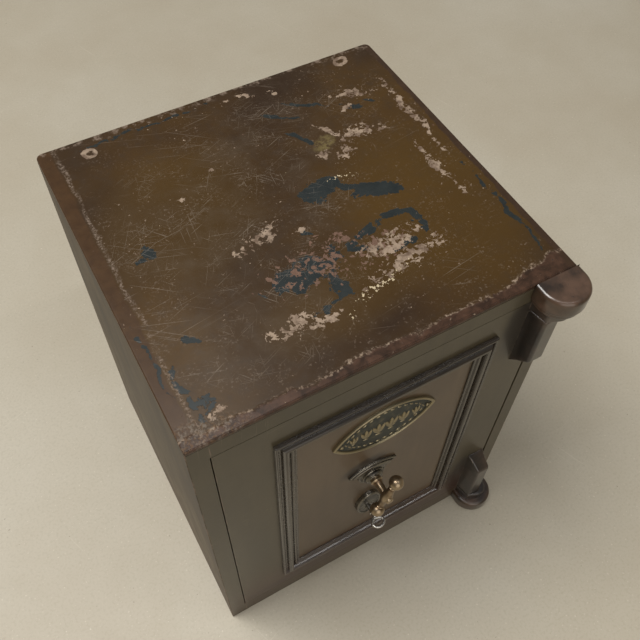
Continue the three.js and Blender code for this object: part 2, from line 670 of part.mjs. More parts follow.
// ---- Assembly -----------------------------------------------------------------------------
buildOuterPlates();
buildFrame();
buildChamber();
buildShelf();
buildHinges();
buildDoorPlate();
buildMoulding();
buildNamePlate();
buildRose();
buildHandle();
buildLockPlate();
buildPan();
buildBoltWork();
buildLock();

export default safe;
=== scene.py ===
import math

import bmesh
import bpy
from mathutils import Euler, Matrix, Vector


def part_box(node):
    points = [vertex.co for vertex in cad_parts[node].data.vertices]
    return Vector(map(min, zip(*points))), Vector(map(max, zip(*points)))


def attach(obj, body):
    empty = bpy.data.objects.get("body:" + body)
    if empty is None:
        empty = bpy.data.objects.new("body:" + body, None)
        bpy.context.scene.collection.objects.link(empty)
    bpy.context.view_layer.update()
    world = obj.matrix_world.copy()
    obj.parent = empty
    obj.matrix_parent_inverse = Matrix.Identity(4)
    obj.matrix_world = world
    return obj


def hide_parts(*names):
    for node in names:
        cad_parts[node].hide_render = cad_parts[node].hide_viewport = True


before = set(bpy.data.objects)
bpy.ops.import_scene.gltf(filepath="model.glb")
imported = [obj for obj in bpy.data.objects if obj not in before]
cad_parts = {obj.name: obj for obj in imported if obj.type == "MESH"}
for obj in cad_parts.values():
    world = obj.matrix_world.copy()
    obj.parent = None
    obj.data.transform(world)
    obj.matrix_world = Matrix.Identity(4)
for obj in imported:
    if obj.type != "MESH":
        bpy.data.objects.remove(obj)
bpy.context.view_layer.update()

FACE_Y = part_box("door_plate")[0][1]      # plane of the door's face
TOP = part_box("top_plate")[1][2]
HALF_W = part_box("top_plate")[1][0]
BACK_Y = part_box("back_plate")[1][1]


# ---- Mesh building ----------------------------------------------------------------------------
def add_piece(name, verts, faces, body, material, slot, replaced=(), angle=38):
    """A mesh object from points in metres, smooth except where faces meet at a steep angle."""
    mesh = bpy.data.meshes.new(name)
    mesh.from_pydata([tuple(v) for v in verts], [], faces)
    bm = bmesh.new()
    bm.from_mesh(mesh)
    bmesh.ops.remove_doubles(bm, verts=bm.verts, dist=1e-6)
    bmesh.ops.recalc_face_normals(bm, faces=bm.faces)
    bm.to_mesh(mesh)
    bm.free()
    for face in mesh.polygons:
        face.use_smooth = True
    mesh.set_sharp_from_angle(angle=math.radians(angle))
    mesh.materials.append(material)
    piece = bpy.data.objects.new(name, mesh)
    bpy.context.scene.collection.objects.link(piece)
    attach(piece, body)
    if replaced:
        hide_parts(*replaced)
    return piece


def rings_to_faces(count, sides, closed=False):
    """Quads between successive rings of points: flat caps at both ends, or closed on itself."""
    faces = []
    for i in range(count if closed else count - 1):
        a = i * sides
        b = (i + 1) % count * sides
        for j in range(sides):
            k = (j + 1) % sides
            faces.append((a + j, a + k, b + k, b + j))
    if not closed:
        faces += [tuple(range(sides))[::-1], tuple(range((count - 1) * sides, count * sides))]
    return faces


def offset(outline, distance):
    """A closed outline (anticlockwise) moved inwards along its own normals."""
    moved = []
    n = len(outline)
    for i, (x, y) in enumerate(outline):
        ax, ay = outline[i - 1]
        bx, by = outline[(i + 1) % n]
        dx, dy = bx - ax, by - ay
        length = math.hypot(dx, dy) or 1.0
        moved.append((x - dy / length * distance, y + dx / length * distance))
    return moved


def slab_rings(outline, low, high, round_low, round_high, steps=5):
    """Rings of an extruded outline whose two rims are rounded: (outline, height) pairs."""
    rings = []
    for i in range(steps + 1):
        turn = math.pi / 2 * i / steps
        rings.append((offset(outline, round_low * (1 - math.sin(turn))),
            low + round_low * (1 - math.cos(turn))))
    for i in range(steps + 1):
        if round_high <= 0 < i:
            break
        turn = math.pi / 2 * i / steps
        rings.append((offset(outline, round_high * (1 - math.cos(turn))),
            high - round_high * (1 - math.sin(turn))))
    return rings


def stack(rings, place, closed=False):
    """Points and faces of a body from (outline, height) rings; place maps (u, v, h) to x, y, z."""
    verts = [place(u, v, h) for outline, h in rings for u, v in outline]
    return verts, rings_to_faces(len(rings), len(rings[0][0]), closed)


MM = 0.001
ON_FACE = 0.05                           # pieces on the door start this far off its face, in mm


def on_door(u, v, h):
    """u and v are X and Z, and h is the height off the door's face, all in millimetres."""
    return (u * MM, FACE_Y - h * MM, v * MM)


def door_at(x, z):
    """A turned body's axis standing straight out of the door."""
    return lambda u, v, h: on_door(x + u, z + v, h)


def upright(u, v, h):
    """u, v and h are X, Y and Z in millimetres."""
    return (u * MM, v * MM, h * MM)


def hung(u, v, h):
    """u is X, v is how far out of the door's face, kept just clear of it, and h is Z."""
    return (u * MM, FACE_Y - max(v, 0.3) * MM, h * MM)


def along_x(y, z):
    """A turned body's axis laid along X."""
    return lambda u, v, h: (h * MM, y + u * MM, z + v * MM)


def turned(degrees):
    """The cosine and sine of an angle."""
    return math.cos(math.radians(degrees)), math.sin(math.radians(degrees))


def arc(cx, cy, radius, start, end, steps):
    """Points along an arc, both ends in."""
    turns = [start + (end - start) * i / steps for i in range(steps + 1)]
    return [(cx + radius * math.cos(a), cy + radius * math.sin(a)) for a in turns]


def circle(cx, cy, radius, sides):
    turns = [math.tau * i / sides for i in range(sides)]
    return [(cx + radius * math.cos(a), cy + radius * math.sin(a)) for a in turns]


def lathe(profile, sides, place):
    """A turned body from (radius, height) points, capped at both ends."""
    return stack([(circle(0, 0, max(r, 1e-5), sides), h) for r, h in profile], place)


def merge(*parts):
    """Several (points, faces) bodies as one."""
    verts, faces = [], []
    for part_verts, part_faces in parts:
        base = len(verts)
        verts += list(part_verts)
        faces += [tuple(i + base for i in face) for face in part_faces]
    return verts, faces


def round_edges(piece, width, segments=3):
    """A small rounded edge on a piece or a CAD node."""
    bevel = piece.modifiers.new("edges", "BEVEL")
    bevel.width = width
    bevel.segments = segments
    bevel.limit_method = "ANGLE"
    bevel.angle_limit = math.radians(40)


# ---- Material building ------------------------------------------------------------------------
class Look:
    """A node material in object coordinates, in metres."""

    def __init__(self, name):
        self.material = bpy.data.materials.new(name)
        self.material.use_nodes = True
        self.tree = self.material.node_tree
        self.shader = self.tree.nodes["Principled BSDF"]
        self.place = self.new("ShaderNodeTexCoord").outputs["Object"]
        self.bent = None

    def bend(self, scale, amount):
        """Makes the spots' outlines wander."""
        node = self.new("ShaderNodeTexNoise")
        self.join(self.place, node.inputs["Vector"])
        self.join(scale, node.inputs["Scale"])
        self.join(5.0, node.inputs["Detail"])
        shift = self.new("ShaderNodeVectorMath", operation="SUBTRACT")
        self.join(node.outputs["Color"], shift.inputs[0])
        self.join((0.5, 0.5, 0.5), shift.inputs[1])
        small = self.new("ShaderNodeVectorMath", operation="MULTIPLY")
        self.join(shift.outputs[0], small.inputs[0])
        self.join((amount, amount, amount), small.inputs[1])
        total = self.new("ShaderNodeVectorMath", operation="ADD")
        self.join(self.place, total.inputs[0])
        self.join(small.outputs[0], total.inputs[1])
        self.bent = total.outputs[0]

    def new(self, kind, **settings):
        node = self.tree.nodes.new(kind)
        for key, value in settings.items():
            setattr(node, key, value)
        return node

    def join(self, value, socket):
        if isinstance(value, (int, float)):
            socket.default_value = value
        elif isinstance(value, (tuple, list)):
            opaque = (1.0,) if len(value) == 3 and socket.type == "RGBA" else ()
            socket.default_value = tuple(value) + opaque
        else:
            self.tree.links.new(value, socket)

    def math(self, operation, a, b=0.0, clamp=False):
        node = self.new("ShaderNodeMath", operation=operation, use_clamp=clamp)
        self.join(a, node.inputs[0])
        self.join(b, node.inputs[1])
        return node.outputs[0]

    def times(self, first, *others):
        for other in others:
            first = self.math("MULTIPLY", first, other)
        return first

    def plus(self, a, b, clamp=False):
        return self.math("ADD", a, b, clamp)

    def minus(self, a, b):
        return self.math("SUBTRACT", a, b)

    def larger(self, first, *others):
        for other in others:
            first = self.math("MAXIMUM", first, other)
        return first

    def absolute(self, a):
        return self.math("ABSOLUTE", a)

    def stretch(self, scale=(1, 1, 1), turn=(0, 0, 0), shift=(0, 0, 0), source=None):
        node = self.new("ShaderNodeMapping")
        self.join(source or self.place, node.inputs["Vector"])
        self.join(shift, node.inputs["Location"])
        self.join(turn, node.inputs["Rotation"])
        self.join(scale, node.inputs["Scale"])
        return node.outputs[0]

    def noise(self, scale, detail=4, rough=0.55, warp=0.0, source=None):
        node = self.new("ShaderNodeTexNoise")
        self.join(source or self.place, node.inputs["Vector"])
        self.join(scale, node.inputs["Scale"])
        self.join(detail, node.inputs["Detail"])
        self.join(rough, node.inputs["Roughness"])
        self.join(warp, node.inputs["Distortion"])
        return node.outputs["Fac"]

    def step(self, value, low, high, top=1.0):
        """0 below low, top above high, smooth between."""
        node = self.new("ShaderNodeMapRange", interpolation_type="SMOOTHSTEP")
        self.join(value, node.inputs["Value"])
        self.join(low, node.inputs["From Min"])
        self.join(high, node.inputs["From Max"])
        self.join(0.0, node.inputs["To Min"])
        self.join(top, node.inputs["To Max"])
        return node.outputs["Result"]

    def ramp(self, value, *stops):
        node = self.new("ShaderNodeValToRGB")
        self.join(value, node.inputs[0])
        items = node.color_ramp.elements
        while len(items) < len(stops):
            items.new(0.5)
        for item, (position, color) in zip(items, stops):
            item.position = position
            item.color = (*color, 1.0)
        return node.outputs[0]

    def mix(self, factor, a, b):
        node = self.new("ShaderNodeMix", data_type="RGBA")
        self.join(factor, node.inputs["Factor"])
        self.join(a, node.inputs[6])
        self.join(b, node.inputs[7])
        return node.outputs[2]

    def axis(self, index, source=None):
        node = self.new("ShaderNodeSeparateXYZ")
        self.join(source or self.place, node.inputs[0])
        return node.outputs[index]

    def spot(self, x, y, rx, ry, turn=0.0, plane="xy", source=None):
        """1 in the middle of an ellipse, falling to 0 at its edge and below 0 outside."""
        cos, sin = turned(turn)
        source = source or self.bent
        first = self.axis(0, source)
        second = self.axis(1 if plane == "xy" else 2, source)
        du = self.minus(first, x)
        dv = self.minus(second, y)
        along = self.plus(self.times(du, cos / rx), self.times(dv, sin / rx))
        across = self.minus(self.times(dv, cos / ry), self.times(du, sin / ry))
        square = self.plus(self.times(along, along), self.times(across, across))
        return self.minus(1.0, square)

    def spots(self, *rows):
        """Several spots as one field."""
        return self.larger(*[self.spot(*row) for row in rows])

    def hairs(self, turn, across, along, threshold, shift=0.0, plane="xy"):
        """Thin marks lying at one angle: across and along are how often they change per metre."""
        if plane == "xy":
            source = self.stretch((1, 1, 1), (0, 0, math.radians(turn)), (shift, shift, 0))
            source = self.stretch((along, across, 1), source=source)
        else:
            source = self.stretch((1, 1, 1), (0, math.radians(turn), 0), (shift, 0, shift))
            source = self.stretch((along, along, across), source=source)
        return self.step(self.noise(1.0, 2, 0.5, 0.15, source), threshold, threshold + 0.03)

    def finish(self, color, roughness, metallic=0.0, height=None, strength=0.3, distance=0.001, **fixed):
        self.join(color, self.shader.inputs["Base Color"])
        self.join(roughness, self.shader.inputs["Roughness"])
        self.join(metallic, self.shader.inputs["Metallic"])
        if height is not None:
            bump = self.new("ShaderNodeBump")
            self.join(height, bump.inputs["Height"])
            self.join(strength, bump.inputs["Strength"])
            self.join(distance, bump.inputs["Distance"])
            self.join(bump.outputs[0], self.shader.inputs["Normal"])
        for key, value in fixed.items():
            self.shader.inputs[key.replace("_", " ").title().replace("Ior", "IOR")].default_value = value
        return self.material


# ---- Materials --------------------------------------------------------------------------------
def ragged(look, spots, grain, hold, level=0.62, soft=0.02):
    """Patches that are whole in the middle of their spots and break up towards the edges."""
    field = look.math("MINIMUM", look.larger(spots, -1.2), 1.0)
    return look.step(look.plus(look.times(field, hold), grain), level, level + soft)


def top_lacquer():
    """Dark brown lacquer, scratched, hazy, and chipped down to a beige primer and blue-grey metal."""
    k = Look("top_lacquer")
    broad = k.noise(4.5, 3, 0.5)
    fine = k.noise(70.0, 6, 0.65)
    medium = k.noise(75.0, 7, 0.62, 0.5)
    small = k.noise(150.0, 6, 0.62, 0.4)
    tiny = k.noise(330.0, 4, 0.6)
    base = k.ramp(broad, (0.38, (0.026, 0.014, 0.007)), (0.50, (0.042, 0.022, 0.007)),
        (0.62, (0.056, 0.029, 0.007)))
    base = k.mix(k.step(fine, 0.42, 0.75, 0.5), base, (0.036, 0.023, 0.014))
    amber = k.spots((-0.13, 0.05, 0.14, 0.11, 40), (0.15, -0.07, 0.13, 0.16, 20),
                    (0.02, -0.13, 0.16, 0.06, 12))
    base = k.mix(k.step(amber, -0.2, 0.9, 0.55), base, (0.066, 0.035, 0.006))

    haze_field = k.spots((-0.06, 0.03, 0.15, 0.14, 30), (-0.12, -0.12, 0.12, 0.08),
                         (0.02, 0.10, 0.10, 0.10))
    haze = k.times(k.step(haze_field, -0.3, 0.9), k.step(k.noise(20.0, 6, 0.7, 0.4), 0.38, 0.74, 0.30))
    base = k.mix(haze, base, (0.085, 0.064, 0.045))
    dust = k.times(k.step(tiny, 0.56, 0.70), k.step(k.noise(30.0, 4, 0.6), 0.40, 0.62, 0.35))
    base = k.mix(dust, base, (0.20, 0.155, 0.12))
    k.bend(28.0, 0.030)

    hairs = k.larger(k.hairs(16, 900, 22, 0.66), k.hairs(-24, 900, 20, 0.66, 0.31),
                     k.hairs(52, 850, 24, 0.68, 0.73), k.hairs(-60, 850, 24, 0.68, 1.11),
                     k.hairs(96, 900, 22, 0.69, 1.7))
    long_hairs = k.larger(k.hairs(-8, 700, 7, 0.688, 2.3), k.hairs(38, 700, 7, 0.692, 3.1),
                          k.hairs(20, 720, 6, 0.692, 4.2))
    beaten = k.spots((-0.05, 0.02, 0.17, 0.15, 30), (0.06, 0.10, 0.12, 0.09), (-0.10, -0.09, 0.13, 0.10))
    marked = k.times(hairs, k.step(k.noise(15.0, 4, 0.6), 0.44, 0.62), k.step(beaten, -0.6, 0.5, 0.95))
    marked = k.larger(marked, k.times(long_hairs, k.step(k.noise(7.0, 3), 0.50, 0.60, 0.8)))
    base = k.mix(k.times(marked, 0.40), base, (0.23, 0.19, 0.15))

    # Bare blue-grey metal: three whole patches right of the middle, then smaller and more broken ones.
    whole = ragged(k, k.spots(
        (0.042, 0.010, 0.030, 0.019, 14), (0.102, -0.022, 0.034, 0.014, -20),
        (0.072, 0.000, 0.026, 0.006, -22)), small, 0.42, 0.60)
    broken = ragged(k, k.spots(
        (0.030, -0.082, 0.014, 0.010), (0.062, -0.070, 0.034, 0.008, 16), (0.100, -0.066, 0.028, 0.007, -14),
        (0.118, -0.088, 0.008, 0.020), (0.090, -0.106, 0.022, 0.007, 12), (0.042, -0.098, 0.022, 0.007, -25),
        (-0.030, -0.092, 0.056, 0.022, 8), (-0.010, -0.122, 0.013, 0.026, 14),
        (-0.034, -0.142, 0.020, 0.006, 16), (0.100, 0.154, 0.044, 0.003, -30),
        (0.058, 0.148, 0.038, 0.003, -30), (0.152, 0.118, 0.012, 0.008), (0.176, 0.124, 0.016, 0.004, -20),
        (-0.174, 0.017, 0.010, 0.012), (-0.188, 0.007, 0.011, 0.005), (-0.184, -0.116, 0.015, 0.006, -30),
        (0.062, 0.100, 0.004, 0.024, 20), (-0.005, -0.044, 0.012, 0.004, -20)), medium, 0.26, 0.60)
    x, y = k.axis(0), k.axis(1)
    wander = k.times(k.minus(k.noise(24.0, 7, 0.66), 0.5), 0.030)
    left = k.plus(x, k.times(wander, 0.42))
    right = k.plus(x, k.times(wander, 0.5))
    front = k.plus(k.minus(y, k.step(x, 0.14, 0.235, 0.015)), wander)
    edges = ragged(k, k.spots(
        (0.222, -0.105, 0.004, 0.095), (-0.212, -0.170, 0.005, 0.052, 6), (-0.228, -0.130, 0.003, 0.06),
        (-0.10, 0.213, 0.09, 0.003), (-0.200, -0.190, 0.016, 0.010, 30)), medium, 0.18, 0.585)
    petrol = k.larger(whole, broken, edges)

    # Chips down to the primer.
    chips = ragged(k, k.spots(
        (0.039, 0.204, 0.014, 0.005, -30), (0.012, 0.208, 0.008, 0.004, -30), (0.072, 0.196, 0.006, 0.008),
        (0.168, 0.145, 0.030, 0.010, -20), (0.140, 0.120, 0.016, 0.006, 40), (0.105, 0.050, 0.015, 0.012),
        (0.078, 0.060, 0.009, 0.008), (0.140, 0.075, 0.032, 0.013, -10), (0.105, 0.090, 0.006, 0.036, 30),
        (-0.052, -0.022, 0.030, 0.012, 14), (-0.080, -0.030, 0.014, 0.006, 40),
        (-0.094, -0.036, 0.005, 0.005), (-0.013, -0.036, 0.008, 0.005), (-0.077, -0.150, 0.026, 0.014, 10),
        (-0.104, -0.150, 0.010, 0.008), (-0.045, -0.158, 0.022, 0.007), (-0.194, -0.202, 0.014, 0.006, 15),
        (-0.110, 0.075, 0.005, 0.004),
        (-0.060, 0.105, 0.004, 0.005), (0.196, -0.020, 0.004, 0.008), (0.07, -0.10, 0.04, 0.016, 10),
        (0.19, -0.02, 0.006, 0.05), (0.215, 0.08, 0.006, 0.09), (0.08, -0.13, 0.06, 0.012, 12)),
        small, 0.15, 0.585, 0.015)
    rings = k.spots((-0.182, 0.202, 0.013, 0.010), (0.186, 0.208, 0.012, 0.009))
    ring_mask = k.times(k.step(rings, 0.02, 0.22), k.step(k.plus(rings, k.times(small, 0.6)), 1.22, 1.05))
    speckle = k.times(k.step(k.noise(230.0, 4, 0.55), 0.675, 0.70), k.step(k.noise(11.0, 3), 0.48, 0.60))
    chips = k.larger(chips, ring_mask, speckle)
    mosaic = ragged(k, k.spots((-0.015, -0.086, 0.062, 0.030, 6), (0.060, -0.100, 0.040, 0.020, 10),
                               (0.03, -0.07, 0.03, 0.014)), k.noise(130.0, 6, 0.6, 0.3), 0.10, 0.60)
    cream = ragged(k, k.spots((0.028, -0.148, 0.052, 0.008, 14), (0.060, -0.138, 0.014, 0.006),
                              (0.072, 0.018, 0.024, 0.005), (-0.02, -0.17, 0.004, 0.012)),
                   k.noise(260.0, 4, 0.55), 0.10, 0.645)
    olive_patch = k.times(k.step(k.spot(0.085, 0.078, 0.020, 0.012, 20), -0.1, 0.8),
        k.step(small, 0.36, 0.60, 0.6))

    # Wear along the four edges, a painted highlight along the left one, and the grit at the front left
    # corner.
    worn_front = k.step(front, -0.2165, -0.2185)
    lip = k.times(k.step(front, -0.2140, -0.2165), k.step(front, -0.2195, -0.2175))
    worn_right = k.step(right, 0.2300, 0.2320)
    # A broken pale line a little way in from the left edge: a painted highlight where the edge rolls over,
    # and worn lacquer.
    ridge_highlight_and_wear = k.times(k.step(left, -0.2215, -0.2190), k.step(left, -0.2140, -0.2165))
    ridge_highlight_and_wear = k.times(ridge_highlight_and_wear, k.step(k.noise(300.0, 5, 0.75), 0.45, 0.60),
                    k.step(k.noise(26.0, 4, 0.6), 0.36, 0.54))
    back_rub = k.times(k.step(k.plus(y, wander), 0.219, 0.223), k.step(k.noise(90.0, 6, 0.7), 0.48, 0.64))
    left_strip = k.step(left, -0.2205, -0.2240)
    corner = k.plus(k.spot(-0.228, -0.224, 0.080, 0.026, -6), k.times(k.noise(30.0, 5), 0.8))
    grains = k.times(k.step(corner, 0.35, 1.1), k.step(tiny, 0.42, 0.62))

    color = k.mix(olive_patch, base, (0.16, 0.125, 0.05))
    color = k.mix(left_strip, color, k.mix(medium, (0.026, 0.012, 0.005), (0.070, 0.036, 0.014)))
    color = k.mix(worn_front, color, k.mix(k.step(medium, 0.30, 0.70), (0.024, 0.013, 0.008),
        (0.066, 0.034, 0.021)))
    color = k.mix(worn_right, color, k.mix(medium, (0.020, 0.011, 0.006), (0.055, 0.031, 0.018)))
    color = k.mix(petrol, color, k.mix(fine, (0.008, 0.011, 0.012), (0.026, 0.032, 0.032)))
    color = k.mix(k.times(marked, petrol, 0.35), color, (0.23, 0.20, 0.17))
    color = k.mix(mosaic, color, k.mix(tiny, (0.068, 0.036, 0.024), (0.18, 0.108, 0.076)))
    pale = k.mix(k.step(k.noise(60.0, 6, 0.7), 0.36, 0.62), (0.105, 0.068, 0.046), (0.285, 0.215, 0.158))
    color = k.mix(k.times(lip, k.step(k.noise(210.0, 6, 0.7), 0.47, 0.60, 0.85)), color, pale)
    # Pale colour on the left ridge (painted highlight and wear) and on the rubbed back edge.
    color = k.mix(k.times(k.larger(ridge_highlight_and_wear, back_rub), 0.8), color, (0.185, 0.14, 0.108))
    color = k.mix(chips, color, pale)
    color = k.mix(cream, color, (0.46, 0.38, 0.25))
    color = k.mix(k.times(grains, 0.45), color, k.mix(k.step(small, 0.42, 0.58), (0.17, 0.105, 0.060),
        (0.23, 0.20, 0.168)))

    bare = k.larger(chips, lip, ridge_highlight_and_wear, grains, cream, mosaic)
    rough = k.plus(k.times(fine, 0.20), 0.30)
    rough = k.plus(rough, k.times(bare, 0.30))
    height = k.minus(k.times(k.noise(11.0, 3), 0.8), k.times(k.larger(bare, petrol), 0.30))
    height = k.minus(height, k.times(marked, 0.12))
    height = k.plus(height, k.times(fine, 0.10))
    return k.finish(color, rough, 0.0, height, 0.4, 0.0012, specular_ior_level=0.22)


def olive_paint(name, base, low, red=0.35, gloss=0.26, coat=0.12, inner=False, sided=False, bumps=0.25,
    scuff=0.45):
    """Satin enamel: nearly even, with slow tone changes, fine marks, rubbed corners and a redder foot; where
    asked, painted shade on the door and a painted floor reflection low on the flanks.
    """
    k = Look(name)
    cloud = k.noise(5.0, 4, 0.55)
    streaks = k.noise(1.0, 4, 0.6, 0.0, k.stretch((40, 40, 6)))
    fine = k.noise(260.0, 4, 0.6)
    tone = k.plus(k.times(cloud, 0.6), k.times(streaks, 0.4))
    color = k.mix(k.step(tone, 0.36, 0.66), low, base)
    color = k.mix(k.times(fine, 0.25), color, [c * 0.7 for c in low])
    if sided:
        flank = k.step(k.absolute(k.axis(0)), 0.2385, 0.2396)
        # Lower down the flanks turn a lighter tan: a painted reflection of the pale floor.
        painted_floor_sheen = k.step(k.plus(k.axis(2), k.times(streaks, 0.25)), 0.62, 0.25)
        bare_side = k.mix(k.step(k.noise(1.0, 6, 0.66, 0.4, k.stretch((20, 16, 7))), 0.38, 0.66),
            (0.032, 0.020, 0.009), (0.068, 0.045, 0.021))
        tan = k.step(k.noise(1.0, 6, 0.70, 0.4, k.stretch((30, 26, 12), shift=(0, 3, 0))), 0.40, 0.64)
        tan = k.mix(tan, (0.068, 0.047, 0.024), (0.140, 0.104, 0.062))
        color = k.mix(flank, color, k.mix(k.times(painted_floor_sheen, 0.75), bare_side, tan))
    if inner:
        x, z = k.absolute(k.axis(0)), k.absolute(k.minus(k.axis(2), 0.3095))
        inside = k.times(k.step(x, 0.1215, 0.1195), k.step(z, 0.197, 0.195))
        color = k.mix(inside, color, k.mix(k.step(tone, 0.36, 0.66), (0.068, 0.045, 0.026),
            (0.098, 0.066, 0.038)))
        # Painted shade: dark soft patches beside the two hinge arms and above-left of the rose; the wide
        # patch low on the door darkens a band along its lower edge.
        painted_shade_and_grime = k.spots((0.184, 0.528, 0.034, 0.080, 0, "xz"), (0.182, 0.095, 0.030, 0.088, 0, "xz"),
                        (-0.022, 0.345, 0.040, 0.022, 12, "xz"), (0.0, 0.048, 0.26, 0.020, 0, "xz"))
        painted_shade_and_grime = k.plus(painted_shade_and_grime, k.times(k.minus(k.noise(40.0, 4, 0.6), 0.5), 0.5))
        color = k.mix(k.step(painted_shade_and_grime, -0.1, 0.75, 0.84), color, (0.014, 0.010, 0.008))
    foot = k.step(k.plus(k.axis(2), k.times(k.noise(8.0, 4, 0.6), -0.12)), 0.10, -0.02, red)
    color = k.mix(foot, color, (0.085, 0.042, 0.030))
    hair = k.larger(k.hairs(4, 500, 14, 0.69, 0.2, "xz"), k.hairs(86, 500, 12, 0.70, 0.7, "xz"))
    marks = k.times(hair, k.step(k.noise(9.0, 4, 0.6), 0.52, 0.64, scuff))
    color = k.mix(marks, color, (0.19, 0.16, 0.12))
    chips = k.times(k.step(k.noise(170.0, 5, 0.6), 0.70, 0.72), k.step(k.noise(9.0, 3), 0.54, 0.64, 0.8))
    color = k.mix(chips, color, (0.20, 0.145, 0.105))
    x, y, z = k.absolute(k.axis(0)), k.axis(1), k.axis(2)
    at_front = k.step(y, -0.2262, -0.2280)
    corner = k.times(k.step(x, 0.2380, 0.2396), at_front)
    door_rim = k.times(k.step(x, 0.2138, 0.2150), k.step(x, 0.2156, 0.2153), at_front)
    rub = k.times(k.larger(corner, door_rim), k.step(k.noise(45.0, 6, 0.68), 0.44, 0.62, 0.8))
    color = k.mix(rub, color, (0.17, 0.115, 0.085))
    rough = k.plus(k.times(cloud, 0.12), gloss)
    rough = k.plus(rough, k.times(fine, 0.06))
    if sided:
        rough = k.plus(rough, k.times(flank, 0.3))
    rough = k.plus(rough, k.times(k.larger(chips, marks), 0.2))
    height = k.plus(k.times(k.noise(9.0, 3), 1.0), k.times(fine, 0.04))
    height = k.minus(height, k.times(k.larger(chips, marks), 0.12))
    return k.finish(color, rough, 0.0, height, bumps, 0.0015, coat_weight=coat, coat_roughness=0.13,
        specular_ior_level=0.3)


def casting(name, dark, mid, bright):
    """Reddish-brown paint over cast iron, pitted, and pale on its rims: partly rubbed, partly a painted
    highlight.
    """
    k = Look(name)
    cloud = k.noise(30.0, 6, 0.62)
    grit = k.noise(420.0, 4, 0.6)
    color = k.ramp(cloud, (0.36, dark), (0.50, mid), (0.66, bright))
    point = k.new("ShaderNodeNewGeometry").outputs["Pointiness"]
    # Pale rims by pointiness: worn paint and a painted highlight on the rounded edges.
    rub = k.times(k.step(point, 0.53, 0.60), k.step(k.noise(70.0, 4, 0.6), 0.36, 0.64, 0.75))
    color = k.mix(rub, color, (0.30, 0.225, 0.18))
    pits = k.times(k.step(k.noise(210.0, 4, 0.6), 0.64, 0.70), k.step(k.noise(40.0, 2), 0.46, 0.60))
    color = k.mix(pits, color, (0.012, 0.008, 0.007))
    rough = k.plus(k.times(cloud, 0.20), 0.22)
    height = k.plus(k.times(k.noise(60.0, 4), 0.6), k.times(grit, 0.12))
    height = k.minus(height, k.times(pits, 0.5))
    return k.finish(color, rough, 0.1, height, 0.32, 0.0012, coat_weight=0.6, coat_roughness=0.13)


def metal(name, bright, dark, base_rough, worn=0.5):
    """An aged metal whose tarnish gathers in hollows and rubs off where it is handled."""
    k = Look(name)
    cloud = k.noise(120.0, 5, 0.6)
    point = k.new("ShaderNodeNewGeometry").outputs["Pointiness"]
    rubbed = k.plus(k.step(point, 0.46, 0.56, worn), k.times(cloud, 1.0 - worn * 0.5), True)
    color = k.mix(k.step(rubbed, 0.25, 0.85), dark, bright)
    spots = k.step(k.noise(360.0, 3, 0.6), 0.66, 0.72, 0.7)
    color = k.mix(spots, color, [c * 0.5 for c in dark])
    hair = k.noise(1.0, 2, 0.5, 0.0, k.stretch((900, 900, 60)))
    rough = k.plus(k.times(cloud, 0.22), base_rough)
    rough = k.plus(rough, k.times(spots, 0.25))
    height = k.plus(k.times(k.noise(500.0, 3), 0.5), k.times(hair, 0.4))
    return k.finish(color, rough, 0.95, height, 0.12, 0.0004)


def plain_steel():
    """Dull plate steel with brown bloom and mill marks, for the works inside the door."""
    k = Look("works_steel")
    bloom = k.noise(14.0, 6, 0.65, 0.4)
    grain = k.noise(1.0, 3, 0.5, 0.0, k.stretch((20, 20, 700)))
    color = k.ramp(bloom, (0.38, (0.15, 0.14, 0.125)), (0.54, (0.19, 0.175, 0.155)),
        (0.72, (0.15, 0.10, 0.068)))
    color = k.mix(k.times(grain, 0.3), color, (0.09, 0.085, 0.08))
    rough = k.plus(k.times(bloom, 0.35), 0.30)
    height = k.plus(k.times(grain, 0.4), k.times(k.noise(90.0, 4), 0.5))
    return k.finish(color, rough, 0.75, height, 0.15, 0.0006)


def powder():
    """Pale pressed filling, crumbly at the surface."""
    k = Look("filling_powder")
    lumps = k.noise(45.0, 6, 0.7)
    color = k.ramp(lumps, (0.35, (0.34, 0.29, 0.21)), (0.6, (0.50, 0.44, 0.33)), (0.75, (0.60, 0.55, 0.44)))
    return k.finish(color, 0.95, 0.0, lumps, 0.6, 0.002)


def enamel():
    """Dark green-black ground of the oval plate."""
    k = Look("plate_ground")
    cloud = k.noise(90.0, 5, 0.65)
    color = k.ramp(cloud, (0.35, (0.006, 0.008, 0.007)), (0.52, (0.020, 0.025, 0.021)),
        (0.70, (0.09, 0.078, 0.048)))
    rough = k.plus(k.times(cloud, 0.3), 0.35)
    return k.finish(color, rough, 0.3, cloud, 0.3, 0.0006)


def concrete():
    """Pale polished concrete, cloudy and finely speckled."""
    k = Look("pale_floor")
    wide = k.noise(1.7, 5, 0.60)
    patch = k.noise(7.0, 6, 0.62, 0.6)
    sand = k.noise(230.0, 4, 0.62)
    color = k.ramp(wide, (0.34, (0.408, 0.362, 0.282)), (0.50, (0.436, 0.396, 0.317)),
        (0.66, (0.466, 0.431, 0.356)))
    color = k.mix(k.step(patch, 0.44, 0.72, 0.14), color, (0.36, 0.315, 0.235))
    color = k.mix(k.step(sand, 0.46, 0.68, 0.26), color, (0.30, 0.265, 0.20))
    color = k.mix(k.step(k.noise(260.0, 3, 0.5), 0.66, 0.72, 0.5), color, (0.66, 0.62, 0.53))
    color = k.mix(k.step(k.noise(150.0, 2, 0.5, 0.0, k.stretch(shift=(3, 1, 0))), 0.74, 0.77, 0.5), color,
        (0.13, 0.11, 0.08))
    hair = k.times(k.larger(k.hairs(70, 220, 4, 0.70), k.hairs(-20, 240, 5, 0.71, 0.6)),
        k.step(k.noise(3.0, 3), 0.48, 0.6, 0.3))
    color = k.mix(hair, color, (0.62, 0.58, 0.49))
    color = k.mix(k.step(k.axis(2), 0.0, 0.9), color, (0.425, 0.388, 0.312))
    rough = k.plus(k.times(patch, 0.25), 0.34)
    rough = k.plus(rough, k.step(k.axis(2), 0.0, 0.5, 0.4))
    return k.finish(color, rough, 0.0, sand, 0.03, 0.0005, specular_ior_level=0.4)


